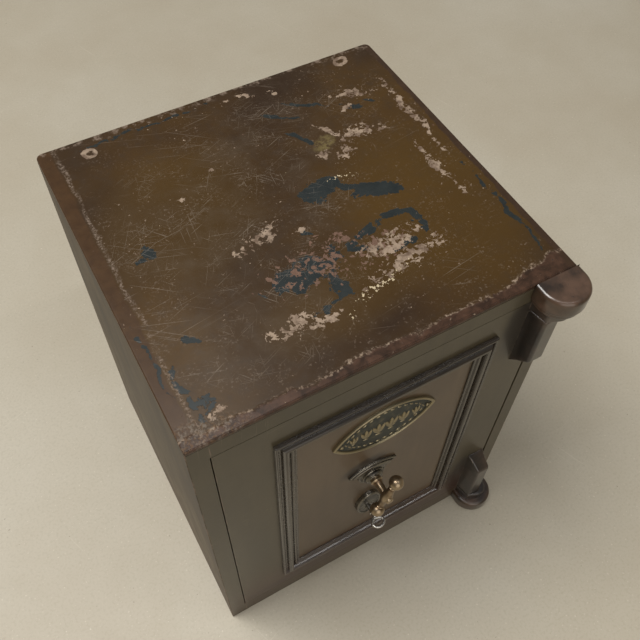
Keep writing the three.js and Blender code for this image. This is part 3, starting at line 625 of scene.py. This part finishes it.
TOP_PAINT = top_lacquer()
OLIVE = olive_paint("olive_paint", (0.069, 0.055, 0.031), (0.048, 0.038, 0.021), 0.30, sided=True)
PANEL = olive_paint("moulding_paint", (0.040, 0.029, 0.018), (0.017, 0.012, 0.008), 0.6, 0.17, 0.5,
    bumps=0.05, scuff=0.08)
DOOR_PAINT = olive_paint("door_paint", (0.069, 0.055, 0.031), (0.048, 0.038, 0.021), 0.45, 0.24, 0.15, True)
INSIDE = olive_paint("inside_paint", (0.060, 0.035, 0.023), (0.034, 0.021, 0.015), 0.3, 0.34)
CASTING = casting("casting", (0.018, 0.010, 0.006), (0.048, 0.026, 0.015), (0.084, 0.046, 0.028))
# The arms take a much darker copy of the casting: painted shade for their dark faces.
SHADED_ARM_CASTING = casting("shaded_arm_casting", (0.007, 0.0045, 0.004), (0.018, 0.011, 0.008), (0.046, 0.028, 0.019))
BRASS = metal("aged_brass", (0.35, 0.275, 0.185), (0.100, 0.054, 0.028), 0.20)
OLD_BRASS = metal("old_brass", (0.32, 0.275, 0.18), (0.10, 0.075, 0.045), 0.30, 0.6)
BRONZE = metal("dark_bronze", (0.17, 0.155, 0.13), (0.012, 0.010, 0.009), 0.15, 0.6)
NICKEL = metal("worn_nickel", (0.48, 0.465, 0.44), (0.20, 0.18, 0.15), 0.16)
BOLT_STEEL = metal("bolt_steel", (0.42, 0.40, 0.37), (0.14, 0.11, 0.085), 0.24)
STEEL = plain_steel()
POWDER = powder()
GROUND = enamel()
FLOOR = concrete()


# ---- Body -------------------------------------------------------------------------------------
def blocks(xs, ys, zs, solid):
    """The skin of the grid cells whose middles satisfy solid(x, y, z)."""
    def filled(i, j, k):
        if not (0 <= i < len(xs) - 1 and 0 <= j < len(ys) - 1 and 0 <= k < len(zs) - 1):
            return False
        return solid((xs[i] + xs[i + 1]) / 2, (ys[j] + ys[j + 1]) / 2, (zs[k] + zs[k + 1]) / 2)

    verts, faces = [], []
    corners = {
        (-1, 0, 0): ((0, 0, 0), (0, 0, 1), (0, 1, 1), (0, 1, 0)),
        (1, 0, 0): ((1, 0, 0), (1, 1, 0), (1, 1, 1), (1, 0, 1)),
        (0, -1, 0): ((0, 0, 0), (1, 0, 0), (1, 0, 1), (0, 0, 1)),
        (0, 1, 0): ((0, 1, 0), (0, 1, 1), (1, 1, 1), (1, 1, 0)),
        (0, 0, -1): ((0, 0, 0), (0, 1, 0), (1, 1, 0), (1, 0, 0)),
        (0, 0, 1): ((0, 0, 1), (1, 0, 1), (1, 1, 1), (0, 1, 1)),
    }
    for i in range(len(xs) - 1):
        for j in range(len(ys) - 1):
            for k in range(len(zs) - 1):
                if not filled(i, j, k):
                    continue
                for (di, dj, dk), quad in corners.items():
                    if not filled(i + di, j + dj, k + dk):
                        faces.append(tuple(range(len(verts), len(verts) + 4)))
                        verts += [(xs[i + a], ys[j + b], zs[k + c]) for a, b, c in quad]
    return verts, faces


def build_shell():
    """The sides, the bottom and the frame round the door as one skin, open at the top and the back."""
    stile_left, stile_right, rail_low, rail_high = -0.2162, 0.2189, 0.0340, 0.57598
    wall, deep = 0.2337, FACE_Y + 0.028
    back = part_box("left_side_plate")[1][1]
    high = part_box("left_side_plate")[1][2]
    xs = [-HALF_W, -wall, stile_left, stile_right, wall, HALF_W]
    ys = [FACE_Y, deep, back]
    zs = [0.0, 0.0063, rail_low, rail_high, high]

    def solid(x, y, z):
        if abs(x) > wall or z < zs[1]:
            return True
        return y < deep and (x < stile_left or x > stile_right or z < rail_low or z > rail_high)

    shell = add_piece("outer_shell", *blocks(xs, ys, zs, solid), "body", OLIVE, "body_paint",
                      ("left_side_plate", "right_side_plate", "bottom_plate", "frame_left_stile",
                       "frame_right_stile", "frame_head", "frame_sill"))
    round_edges(shell, 0.0008)


def build_lid():
    """The top plate: rear corners rounded, and a soft edge all round."""
    half, front, back = HALF_W / MM, FACE_Y / MM, BACK_Y / MM
    low, high = 604.0, TOP / MM
    outline = []
    for cx, cy, r, start in ((half - 1.5, front + 1.5, 1.5, -90), (half - 8, back - 8, 8, 0),
        (-half + 8, back - 8, 8, 90), (-half + 1.5, front + 1.5, 1.5, 180)):
        outline += arc(cx, cy, r, math.radians(start), math.radians(start + 90), 8)
    add_piece("top_lid", *stack(slab_rings(outline, low, high, 0.8, 1.8), upright), "body", TOP_PAINT,
        "top_paint", ("top_plate",))


def build_mouth():
    """The flange round the chamber's mouth, which hides the ends of the filling."""
    half, low, high = 0.1862, 0.0508, 0.5592
    xs = [-0.2332, -half, half, 0.2332]
    ys = [FACE_Y + 0.0774, FACE_Y + 0.0788]
    zs = [0.0068, low, high, 0.6032]

    def solid(x, y, z):
        return abs(x) > half or z < low or z > high

    flange = add_piece("chamber_mouth", *blocks(xs, ys, zs, solid), "body", INSIDE, "body_paint")
    round_edges(flange, 0.0005, 2)


# ---- Hinges -----------------------------------------------------------------------------------
EAR_X, EAR_OUT, EAR_R = 212.0, 12.0, 31.5
PIN_X, PIN_OUT, PIN_R = 213.0, 16.5, 7.0


def ear_outline(radius):
    """A straight-sided tongue with a round nose, its root inside the body."""
    right = [(EAR_X + radius, -8 + i * 4.0) for i in range(5)]
    left = [(EAR_X - radius, 8 - i * 4.0) for i in range(5)]
    return right + arc(EAR_X, EAR_OUT, radius, 0, math.pi, 48) + left


def build_ears():
    """The two cast ears on the body and their pins."""
    full, slim = ear_outline(EAR_R), ear_outline(EAR_R - 3)
    # The upper ear has a smaller lip under its rim.
    rings = slab_rings(slim, 576.5, 584.6, 2.0, 0) + slab_rings(full, 585.2, 610.0, 2.2, 5.5, 7)
    add_piece("upper_hinge_lug", *stack(rings, hung), "body", CASTING, "hinge_casting", ("upper_hinge_ear",))
    rings = slab_rings(full, 0.0, 24.0, 4.0, 5.0, 7)
    add_piece("lower_hinge_lug", *stack(rings, hung), "body", CASTING, "hinge_casting", ("lower_hinge_ear",))
    for name, low, high in (("upper", 563.0, 576.4), ("lower", 24.1, 37.5)):
        profile = [(0, low), (PIN_R - 0.8, low), (PIN_R, low + 0.8), (PIN_R, high - 0.8),
                   (PIN_R - 0.8, high), (0, high)]
        pin = lathe(profile, 40, lambda u, v, h: ((PIN_X + u) * MM, FACE_Y - (PIN_OUT + v) * MM, h * MM))
        add_piece(name + "_pin", *pin, "body", BOLT_STEEL, "steel", (name + "_hinge_pin",))


def resample(path, count):
    """count points evenly spread along a path, its first point in and its last left out."""
    lengths = [0.0]
    for (x0, y0), (x1, y1) in zip(path, path[1:]):
        lengths.append(lengths[-1] + math.hypot(x1 - x0, y1 - y0))
    points, k = [], 0
    for i in range(count):
        target = lengths[-1] * i / count
        while lengths[k + 1] < target:
            k += 1
        t = (target - lengths[k]) / ((lengths[k + 1] - lengths[k]) or 1.0)
        points.append((path[k][0] + (path[k + 1][0] - path[k][0]) * t,
            path[k][1] + (path[k + 1][1] - path[k][1]) * t))
    return points


def arm_ring(nose, reach=26.0):
    """The arm's plan with a round nose about the pin, or the plain fin of a given reach."""
    root, left, right, soft = 186.0, 186.0 + 5.0 * reach / 26.0, 213.0, min(3.0, reach * 0.4)
    side = [(root, ON_FACE), (left - 0.2, reach - soft)]
    side += arc(left + soft, reach - soft, soft, math.pi, math.pi / 2, 5)
    if nose:
        front = arc(PIN_X, PIN_OUT, 16.0, 0.62 * math.pi, -0.5 * math.pi, 40)
    else:
        front = arc(right - soft, reach - soft, soft, math.pi / 2, 0, 6)
    front += [(right, ON_FACE)]
    back = [(right, ON_FACE), (root, ON_FACE)]
    ring = resample(side, 26) + resample([side[-1]] + front, 64) + resample(back, 12)
    return ring[::-1]                     # anticlockwise


def lerp(a, b, t):
    """An outline a share t of the way from one to another with as many points."""
    return [(ax + (bx - ax) * t, ay + (by - ay) * t) for (ax, ay), (bx, by) in zip(a, b)]


def fin_reach(z):
    """How far the fin stands out at a height: straight, round at its nose, then sloping back to its foot."""
    if z <= 133:
        return 26.0
    if z <= 140.8:
        return min(26.0, 17.2 + 9 * math.cos(math.asin((z - 133) / 9.0)))
    return max(0.9, 21.7 * (159.6 - z) / (159.6 - 140.8))


def build_arm(name, base, flip, replaced):
    """A cast arm: a bored knuckle about the pin, and a fin that lies on the door and runs out."""
    knuckle, fin = arm_ring(True), arm_ring(False)
    bore = []
    for x, v in knuckle:
        away = math.hypot(x - PIN_X, v - PIN_OUT)
        bore.append((PIN_X + (x - PIN_X) / away * 7.5, PIN_OUT + (v - PIN_OUT) / away * 7.5))
    rings = [(bore, base + 14), (bore, base)]
    rings += slab_rings(knuckle, base, base + 17, 1.0, 2.4)
    rim = offset(knuckle, 2.4)
    for share, height in ((0.45, 17.0), (0.72, 17.3), (0.88, 18.3), (0.96, 20.0), (1.0, 22.5)):
        rings.append((lerp(rim, fin, share), base + height))
    heights = [base + 26, 80, 120, 128, 132] + [133 + 1.3 * i for i in range(1, 7)]
    for z in heights + [142.5, 146, 150, 154, 157, 159]:
        rings.append((arm_ring(False, fin_reach(z)), z))

    def place(u, v, h):
        return (u * MM, FACE_Y - max(v, ON_FACE) * MM, (610 - h if flip else h) * MM)

    add_piece(name, *stack(rings, place), "door", SHADED_ARM_CASTING, "hinge_casting", (replaced,), 50)


# ---- Door -------------------------------------------------------------------------------------
def smooth_path(points, steps=4):
    """A smooth curve through the points, its ends kept."""
    path = []
    for i in range(len(points) - 1):
        near = points[max(i - 1, 0)], points[i], points[i + 1], points[min(i + 2, len(points) - 1)]
        for s in range(steps):
            t = s / steps
            path.append(tuple(
                0.5 * (2 * b + (c - a) * t + (2 * a - 5 * b + 4 * c - d) * t * t
                       + (3 * b - a - 3 * c + d) * t ** 3)
                for a, b, c, d in zip(*near)))
    return path + [points[-1]]


def build_moulding():
    """The mitred frame on the door: inwards, a bead, a swelled band and two small beads."""
    profile = smooth_path([(0, 4.2), (0.8, 5.4), (2.4, 5.9), (4.0, 5.2), (4.8, 3.6)], 3)
    profile += smooth_path([(5.6, 2.6), (7.2, 2.6), (8.6, 5.6), (10.2, 8.0), (12.2, 8.9), (14.4, 8.8),
                            (16.0, 7.6), (16.8, 5.4)], 4)
    profile += smooth_path([(17.4, 3.0), (18.6, 3.0), (19.4, 4.4), (21.2, 4.9), (23.0, 4.4), (23.8, 3.0)], 3)
    profile += smooth_path([(24.4, 2.4), (25.6, 3.0), (27.2, 2.8), (28, 1.6)], 3)
    profile = [(0, ON_FACE)] + profile + [(28, ON_FACE)]
    rings = []
    for inset, height in profile:
        x, low, high = 148 - inset, 86 + inset, 533 - inset
        rings.append(([(-x, low), (x, low), (x, high), (-x, high)], height))
    add_piece("panel_moulding", *stack(rings, on_door, True), "door", PANEL, "body_paint",
              ("moulding_top", "moulding_right", "moulding_bottom", "moulding_left"), 34)


def lens(cx, cy, length, width, angle, low, high):
    """A small domed leaf lying on the plate, pointed at both ends."""
    cos, sin = turned(angle)
    rings = []
    for size, height in ((1.0, low), (0.92, low + (high - low) * 0.55), (0.7, low + (high - low) * 0.86),
                         (0.35, high)):
        outline = []
        for i in range(24):
            t = math.tau * i / 24
            u = length / 2 * math.cos(t) * size
            v = width / 2 * math.sin(t) * abs(math.sin(t)) ** 0.35 * size
            outline.append((cx + u * cos - v * sin, cy + u * sin + v * cos))
        rings.append((outline, height))
    return stack(rings, on_door)


def slotted_head(cx, cz, radius, low, high, slot_turn, place=on_door):
    """A domed screw head cut by one slot."""
    rim = circle(cx, cz, radius, 28)
    parts = [stack([(rim, low), (rim, low + (high - low) * 0.35)], place)]
    slot = radius * 0.17
    for turn in (slot_turn, slot_turn + 180):
        cos, sin = turned(turn)
        rings = []
        for size, height in ((1.0, 0.35), (0.97, 0.62), (0.84, 0.85), (0.6, 1.0)):
            start = math.asin(slot / (radius * size))
            half = [(radius * size * math.cos(a), radius * size * math.sin(a))
                    for a in [start + (math.pi - 2 * start) * i / 14 for i in range(15)]]
            rings.append(([(cx + u * cos - v * sin, cz + u * sin + v * cos) for u, v in half],
                          low + (high - low) * height))
        parts.append(stack(rings, place))
    return merge(*parts)


def pointed_oval(cx, cy, half_w, half_h, steps=48):
    """Two equal arcs that meet in a point at each end."""
    radius = (half_w ** 2 + half_h ** 2) / (2 * half_h)
    half_turn = math.asin(half_w / radius)
    drop = radius - half_h
    turns = [half_turn - 2 * half_turn * i / steps for i in range(steps)]
    upper = [(cx + radius * math.sin(a), cy - drop + radius * math.cos(a)) for a in turns]
    return upper + [(2 * cx - u, 2 * cy - v) for u, v in upper]


def build_name_plate():
    """A raised rim, a dark ground, a plain leaf ornament and a screw at each tip."""
    half_w, half_h, z = 73.0, 44.0, 446.0
    rim = [(0, ON_FACE), (0, 2.8), (0.3, 3.6), (0.9, 4.0), (2.0, 4.0), (2.7, 3.4), (3.0, 2.4), (3.0, ON_FACE)]
    rings = [(pointed_oval(0, z, half_w - 1.7 * w, half_h - w), h) for w, h in rim]
    add_piece("oval_rim", *stack(rings, on_door, True), "door", OLD_BRASS, "brass", ("name_plate",))
    ground = [(pointed_oval(0, z, (half_w - 5.3) * s, (half_h - 3.1) * s), h)
              for s, h in ((1, ON_FACE), (1, 1.4), (0.9, 1.7), (0.6, 2.0), (0.2, 2.1))]
    add_piece("oval_ground", *stack(ground, on_door), "door", GROUND, "bronze")
    parts = []
    # Six upright palmettes.
    for u, tall in ((-44, 17), (-26.5, 23), (-9, 26), (9, 26), (26.5, 23), (44, 17)):
        parts.append(lens(u, z, tall, tall * 0.26, 90, 1.4, 3.9))
        for side in (-1, 1):
            parts.append(lens(u + side * tall * 0.19, z - tall * 0.02, tall * 0.78, tall * 0.22,
                              90 - side * 20, 1.4, 3.7))
        parts.append(lens(u, z - tall * 0.52, tall * 0.34, tall * 0.10, 0, 1.3, 3.0))
    edge = pointed_oval(0, z, half_w - 17, half_h - 9.5, 28)
    for (u0, v0), (u1, v1) in zip(edge[::2], edge[1::2]):   # small leaves following the rim
        turn = math.degrees(math.atan2(v1 - v0, u1 - u0))
        parts.append(lens((u0 + u1) / 2, (v0 + v1) / 2, 6.2, 2.5, turn, 1.3, 2.9))
    add_piece("oval_relief", *merge(*parts), "door", OLD_BRASS, "brass")
    for name, x, turn in (("left", -61, 20), ("right", 61, 75)):
        add_piece("plate_screw_" + name, *slotted_head(x, z, 2.6, 1.5, 4.4, turn), "door", OLD_BRASS,
                  "brass", ("name_plate_screw_" + name,))


HANDLE_X, HANDLE_Z = -8.0, 313.0


def build_rose():
    """The plate behind the handle: a disc with a pointed wing at each side, and a turned boss."""
    x, z, middle = HANDLE_X, HANDLE_Z, 322.0

    def reach(shape, angle):
        """Distance from the middle to a closed outline along one direction."""
        cos, sin = math.cos(angle), math.sin(angle)
        best = 0.0
        for (x0, y0), (x1, y1) in zip(shape, shape[1:] + shape[:1]):
            a0, a1 = x0 * sin - y0 * cos, x1 * sin - y1 * cos
            if (a0 <= 0) != (a1 <= 0):
                t = a0 / (a0 - a1)
                best = max(best, (x0 + (x1 - x0) * t) * cos + (y0 + (y1 - y0) * t) * sin)
        return best

    disc = circle(0, z - middle, 21, 160)
    wings = pointed_oval(0, 330 - middle, 37, 13)
    angles = [math.tau * (i + 0.25) / 240 for i in range(240)]
    reaches = [max(reach(disc, a), reach(wings, a)) for a in angles]

    def plan(share, inset=0.0):
        return [(x + (r * share - inset) * math.cos(a), middle + (r * share - inset) * math.sin(a))
                for a, r in zip(angles, reaches)]

    slab = [(plan(1), ON_FACE), (plan(1), 2.4), (plan(1, 0.5), 3.3), (plan(1, 1.2), 3.6)]
    slab += [(plan(share), h) for share, h in ((0.88, 3.5), (0.86, 2.9), (0.84, 2.9), (0.81, 4.4),
                                               (0.78, 4.9), (0.5, 5.0))]
    boss = lathe([(0, 4.4), (16.5, 4.4), (16.5, 6.0), (15.8, 6.8), (14.4, 6.8), (13.6, 7.6), (13.2, 9.6),
                  (12.4, 10.8), (11.0, 11.2), (10.4, 12.0), (8.2, 12.0), (8.2, 11.0), (0, 11.0)],
                 64, door_at(x, z))
    add_piece("rose", *merge(stack(slab, on_door), boss), "door", BRONZE, "bronze", ("handle_rose",))


def build_handle():
    """A grip with a ball at each end, standing 70 degrees from level, on a round stem."""
    x, z, out, ball, half = HANDLE_X, HANDLE_Z, 40.0, 10.0, 34.0
    cos, sin = turned(70)
    profile = []
    for i in range(19):
        a = math.pi - (math.pi - math.pi / 6.2) * i / 18
        profile.append((ball * math.sin(a), -half + ball * math.cos(a)))
    profile += [(4.8, -24.2), (5.6, -23.4), (5.6, -22.4), (4.7, -21.6), (4.8, -18), (5.3, -13), (6.1, -9),
                (7.2, -5.5), (7.8, -3), (8.0, 0)]
    profile += [(r, -h) for r, h in profile[:-1][::-1]]

    def across(u, v, h):
        return on_door(x + h * cos - u * sin, z + h * sin + u * cos, out + v)

    bar = lathe(profile, 48, across)
    stem = lathe([(0, 12.2), (7.9, 12.2), (7.9, 14), (8.6, 14.6), (9, 15.6), (8.4, 16.8), (7.2, 17.6),
                  (6.4, 19), (5.8, 22), (5.4, 28), (5.4, 38), (5.5, 46), (5.3, 48.2), (4.4, 49.3),
                  (2.8, 49.7), (0, 49.8)], 48, door_at(x, z))
    add_piece("handle_bar", *merge(bar, stem), "handle", BRASS, "brass", ("handle_grip",))


KEY_X, KEY_Z = -7.0, 201.0


def build_keyhole_plate():
    """An oval plate whose inner edge is the keyhole: round about the key, with a level slot to the right."""
    x, z, half_w, half_h = KEY_X, 212.0, 20.0, 33.0
    key_z, hole, slot, reach, steps = KEY_Z, 4.6, 1.8, 15.0, 12
    side = math.asin(slot / hole)
    mouth = x + hole * math.cos(side)
    turns = [side + (math.tau - 2 * side) * i / 70 for i in range(71)]
    loop = [(x + hole * math.cos(a), key_z + hole * math.sin(a)) for a in turns]
    loop += [(mouth + (reach - hole) * i / steps, key_z - slot) for i in range(1, steps + 1)]
    loop += [(mouth + (reach - hole) * i / steps, key_z + slot) for i in range(steps, 0, -1)]
    middle = (x + 2.0, key_z)
    outer = []
    for u, v in loop:                     # the oval's point in the same direction from the middle
        a = math.atan2(v - middle[1], u - middle[0])
        cos, sin = math.cos(a), math.sin(a)
        p, q = (middle[0] - x) / half_w, (middle[1] - z) / half_h
        cu, cv = cos / half_w, sin / half_h
        aa, bb, cc = cu * cu + cv * cv, 2 * (p * cu + q * cv), p * p + q * q - 1
        far = (-bb + math.sqrt(bb * bb - 4 * aa * cc)) / (2 * aa)
        outer.append((middle[0] + far * cos, middle[1] + far * sin))
    rings = [(loop, ON_FACE), (outer, ON_FACE), (outer, 4.6)]
    for inset, height in ((0.3, 5.8), (1.1, 6.7), (2.2, 7.0), (3.2, 6.9), (3.9, 6.2)):
        rings.append((offset(outer, inset), height))
    rings += [(lerp(outer, loop, 0.45), 6.0), (offset(loop, -0.9), 6.0), (offset(loop, -0.3), 5.8),
              (loop, 5.2)]
    add_piece("lock_plate", *stack(rings, on_door, True), "door", BRONZE, "bronze", ("keyhole_plate",))


def build_key():
    """The key as it stands in the lock, its bit inside the lock case."""
    x, z = KEY_X, KEY_Z
    shank = lathe([(0, -47), (2.6, -47), (3.0, -46.4), (3.0, 8), (3.0, 16), (4.2, 16.6), (4.6, 17.6),
                   (4.2, 18.6), (3.4, 19.2), (3.2, 22), (3.6, 24.5), (3.4, 25.9), (0, 26.2)],
                  40, door_at(x, z))
    # The bow: an oval ring lying level, its bar round in section.
    rings = []
    for i in range(72):
        a = math.tau * i / 72
        cos, sin = math.cos(a), math.sin(a)
        for j in range(16):
            b = math.tau * j / 16
            rings.append((x + 8.9 * cos + 2.1 * math.cos(b) * cos, z + 1.75 * math.sin(b),
                          34 + 7.0 * sin + 2.1 * math.cos(b) * sin))
    bow = ([on_door(*point) for point in rings], rings_to_faces(72, 16, closed=True))
    xs = [(x + v) * MM for v in (2.4, 5.5, 8.5, 13.0)]
    ys = [FACE_Y + d * MM for d in (38, 41, 43, 46)]
    zs = [(z - 1.3) * MM, (z + 1.3) * MM]
    bit = blocks(xs, ys, zs, lambda px, py, pz: not (px > xs[2] and ys[1] < py < ys[2]))
    add_piece("key_turned", *merge(shank, bow, bit), "key", NICKEL, "nickel", ("key",))


def build_bolts():
    """Three sliding bolts on the left, and three fixed dogs on the hinge side."""
    for name, z in (("lower", 130), ("middle", 305), ("upper", 480)):
        profile = [(0, -186.5), (7.2, -186.5), (9.0, -185.6), (10, -183.6), (10, -161.2), (9.4, -160.4),
                   (0, -160.4)]
        add_piece(name + "_bolt_rod", *lathe(profile, 56, along_x(FACE_Y + 0.058, z * MM)), "bolt_work",
                  BOLT_STEEL, "steel", (name + "_bolt",))
        profile = [(0, 187.4), (9, 187.4), (9, 201), (7.8, 203.8), (5.5, 204.9), (0, 205)]
        add_piece(name + "_dog", *lathe(profile, 56, along_x(FACE_Y + 0.059, z * MM)), "door", BOLT_STEEL,
                  "steel", (name + "_fixed_dog",))


def build_cover_screws():
    """Screws round the cover of the bolt work, on the door's inner side."""
    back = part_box("pan_cover")[1][1]
    places = [(x, z) for x in (-176, 176) for z in (70, 224, 386, 540)]
    places += [(x, z) for x in (-58, 58) for z in (70, 540)]

    def place(u, v, h):
        return (u * MM, back + h * MM, v * MM)

    parts = [slotted_head(x, z, 4.2, ON_FACE, 1.9, 37 * i, place) for i, (x, z) in enumerate(places)]
    add_piece("cover_screws", *merge(*parts), "door", BOLT_STEEL, "steel")


build_shell()
build_lid()
build_mouth()
build_ears()
build_arm("lower_arm", 24.6, False, "lower_hinge_arm")
build_arm("upper_arm", 34.1, True, "upper_hinge_arm")
build_moulding()
build_name_plate()
build_rose()
build_handle()
build_keyhole_plate()
build_key()
build_bolts()
build_cover_screws()


# ---- CAD pieces that are shown as they are ----------------------------------------------------
def dress(node_name, material, edge):
    """A CAD node shown as it is, with a material and softened edges."""
    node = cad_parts[node_name]
    for entry in node.material_slots:
        entry.material = material
    round_edges(node, edge, 2)


dress("back_plate", OLIVE, 0.0012)
dress("door_plate", DOOR_PAINT, 0.0005)
for name in ("door_stop_left", "door_stop_right", "door_stop_head", "door_stop_sill"):
    dress(name, INSIDE, 0.0008)
for name in ("liner_top", "liner_bottom", "liner_left", "liner_right", "liner_back", "shelf",
    "shelf_ledge_left", "shelf_ledge_right"):
    dress(name, INSIDE, 0.0005)
for name in ("filling_left", "filling_right", "filling_top", "filling_bottom", "filling_back"):
    dress(name, POWDER, 0.0005)
for name in ("pan_left", "pan_right", "pan_top", "pan_bottom", "pan_cover", "lock_case", "bolt_bar",
    "handle_spindle"):
    dress(name, STEEL, 0.0004)
dress("lock_bolt", BRASS, 0.0003)


# ---- Floor, light and camera ------------------------------------------------------------------
def build_floor():
    """A wide floor that turns up into a plain wall all round, far from the object."""
    flat, curve, wall_top, sides = 3.8, 1.4, 3.4, 72
    profile = [(0.0, 0.0), (1.0, 0.0), (2.4, 0.0), (flat, 0.0)]
    profile += [(flat + curve * math.sin(a), curve - curve * math.cos(a))
                for a in [math.pi / 2 * i / 12 for i in range(1, 13)]]
    profile += [(flat + curve, wall_top)]
    verts = [(0.0, 0.0, 0.0)] + [(x, y, h) for r, h in profile[1:] for x, y in circle(0, 0, r, sides)]
    faces = [(0, 1 + j, 1 + (j + 1) % sides) for j in range(sides)]
    for i in range(len(profile) - 2):
        for j in range(sides):
            k, near, far = (j + 1) % sides, 1 + i * sides, 1 + (i + 1) * sides
            faces.append((near + j, far + j, far + k, near + k))
    mesh = bpy.data.meshes.new("floor")
    mesh.from_pydata(verts, [], faces)
    for face in mesh.polygons:
        face.use_smooth = True
    mesh.materials.append(FLOOR)
    floor = bpy.data.objects.new("floor", mesh)
    floor.location.z = -0.0002            # just under the feet, so that no faces share a plane
    bpy.context.scene.collection.objects.link(floor)


def add_light(name, location, target, size, power, color, size_y=None):
    """A rectangular lamp that faces a target."""
    data = bpy.data.lights.new(name, "AREA")
    data.shape = "RECTANGLE"
    data.size = size
    data.size_y = size_y or size
    data.energy = power
    data.color = color
    lamp = bpy.data.objects.new(name, data)
    lamp.location = location
    lamp.rotation_euler = (Vector(target) - Vector(location)).to_track_quat("-Z", "Y").to_euler()
    bpy.context.scene.collection.objects.link(lamp)


build_floor()
add_light("skylight", (-1.6, 0.7, 4.6), (0.2, 0.0, 0.1), 2.3, 205, (1.0, 0.985, 0.955))
add_light("strip", (0.2, -1.2, 3.6), (0.2, -0.1, 0.3), 3.0, 15, (1.0, 0.985, 0.96), 0.08)
add_light("fill", (-0.5, -2.8, 1.4), (0.0, 0.0, 0.3), 2.4, 25, (1.0, 0.96, 0.90))
world = bpy.data.worlds.new("studio")
world.use_nodes = True
world.node_tree.nodes["Background"].inputs["Color"].default_value = (1.0, 0.975, 0.94, 1.0)
world.node_tree.nodes["Background"].inputs["Strength"].default_value = 0.29
bpy.context.scene.world = world
bpy.context.scene.view_settings.view_transform = "Standard"

# The photograph's viewpoint, in metres, degrees and millimetres.
CAMERA_PLACE = (-0.28743, -0.55618, 1.28485)
CAMERA_TURN = (34.577, -0.898, -29.232)
LENS, SENSOR = 43.416, 36

camera = bpy.data.objects.new("camera", bpy.data.cameras.new("camera"))
camera.location = CAMERA_PLACE
camera.rotation_euler = Euler([math.radians(a) for a in CAMERA_TURN])
camera.data.lens = LENS
camera.data.sensor_width = SENSOR
bpy.context.scene.collection.objects.link(camera)
bpy.context.scene.camera = camera
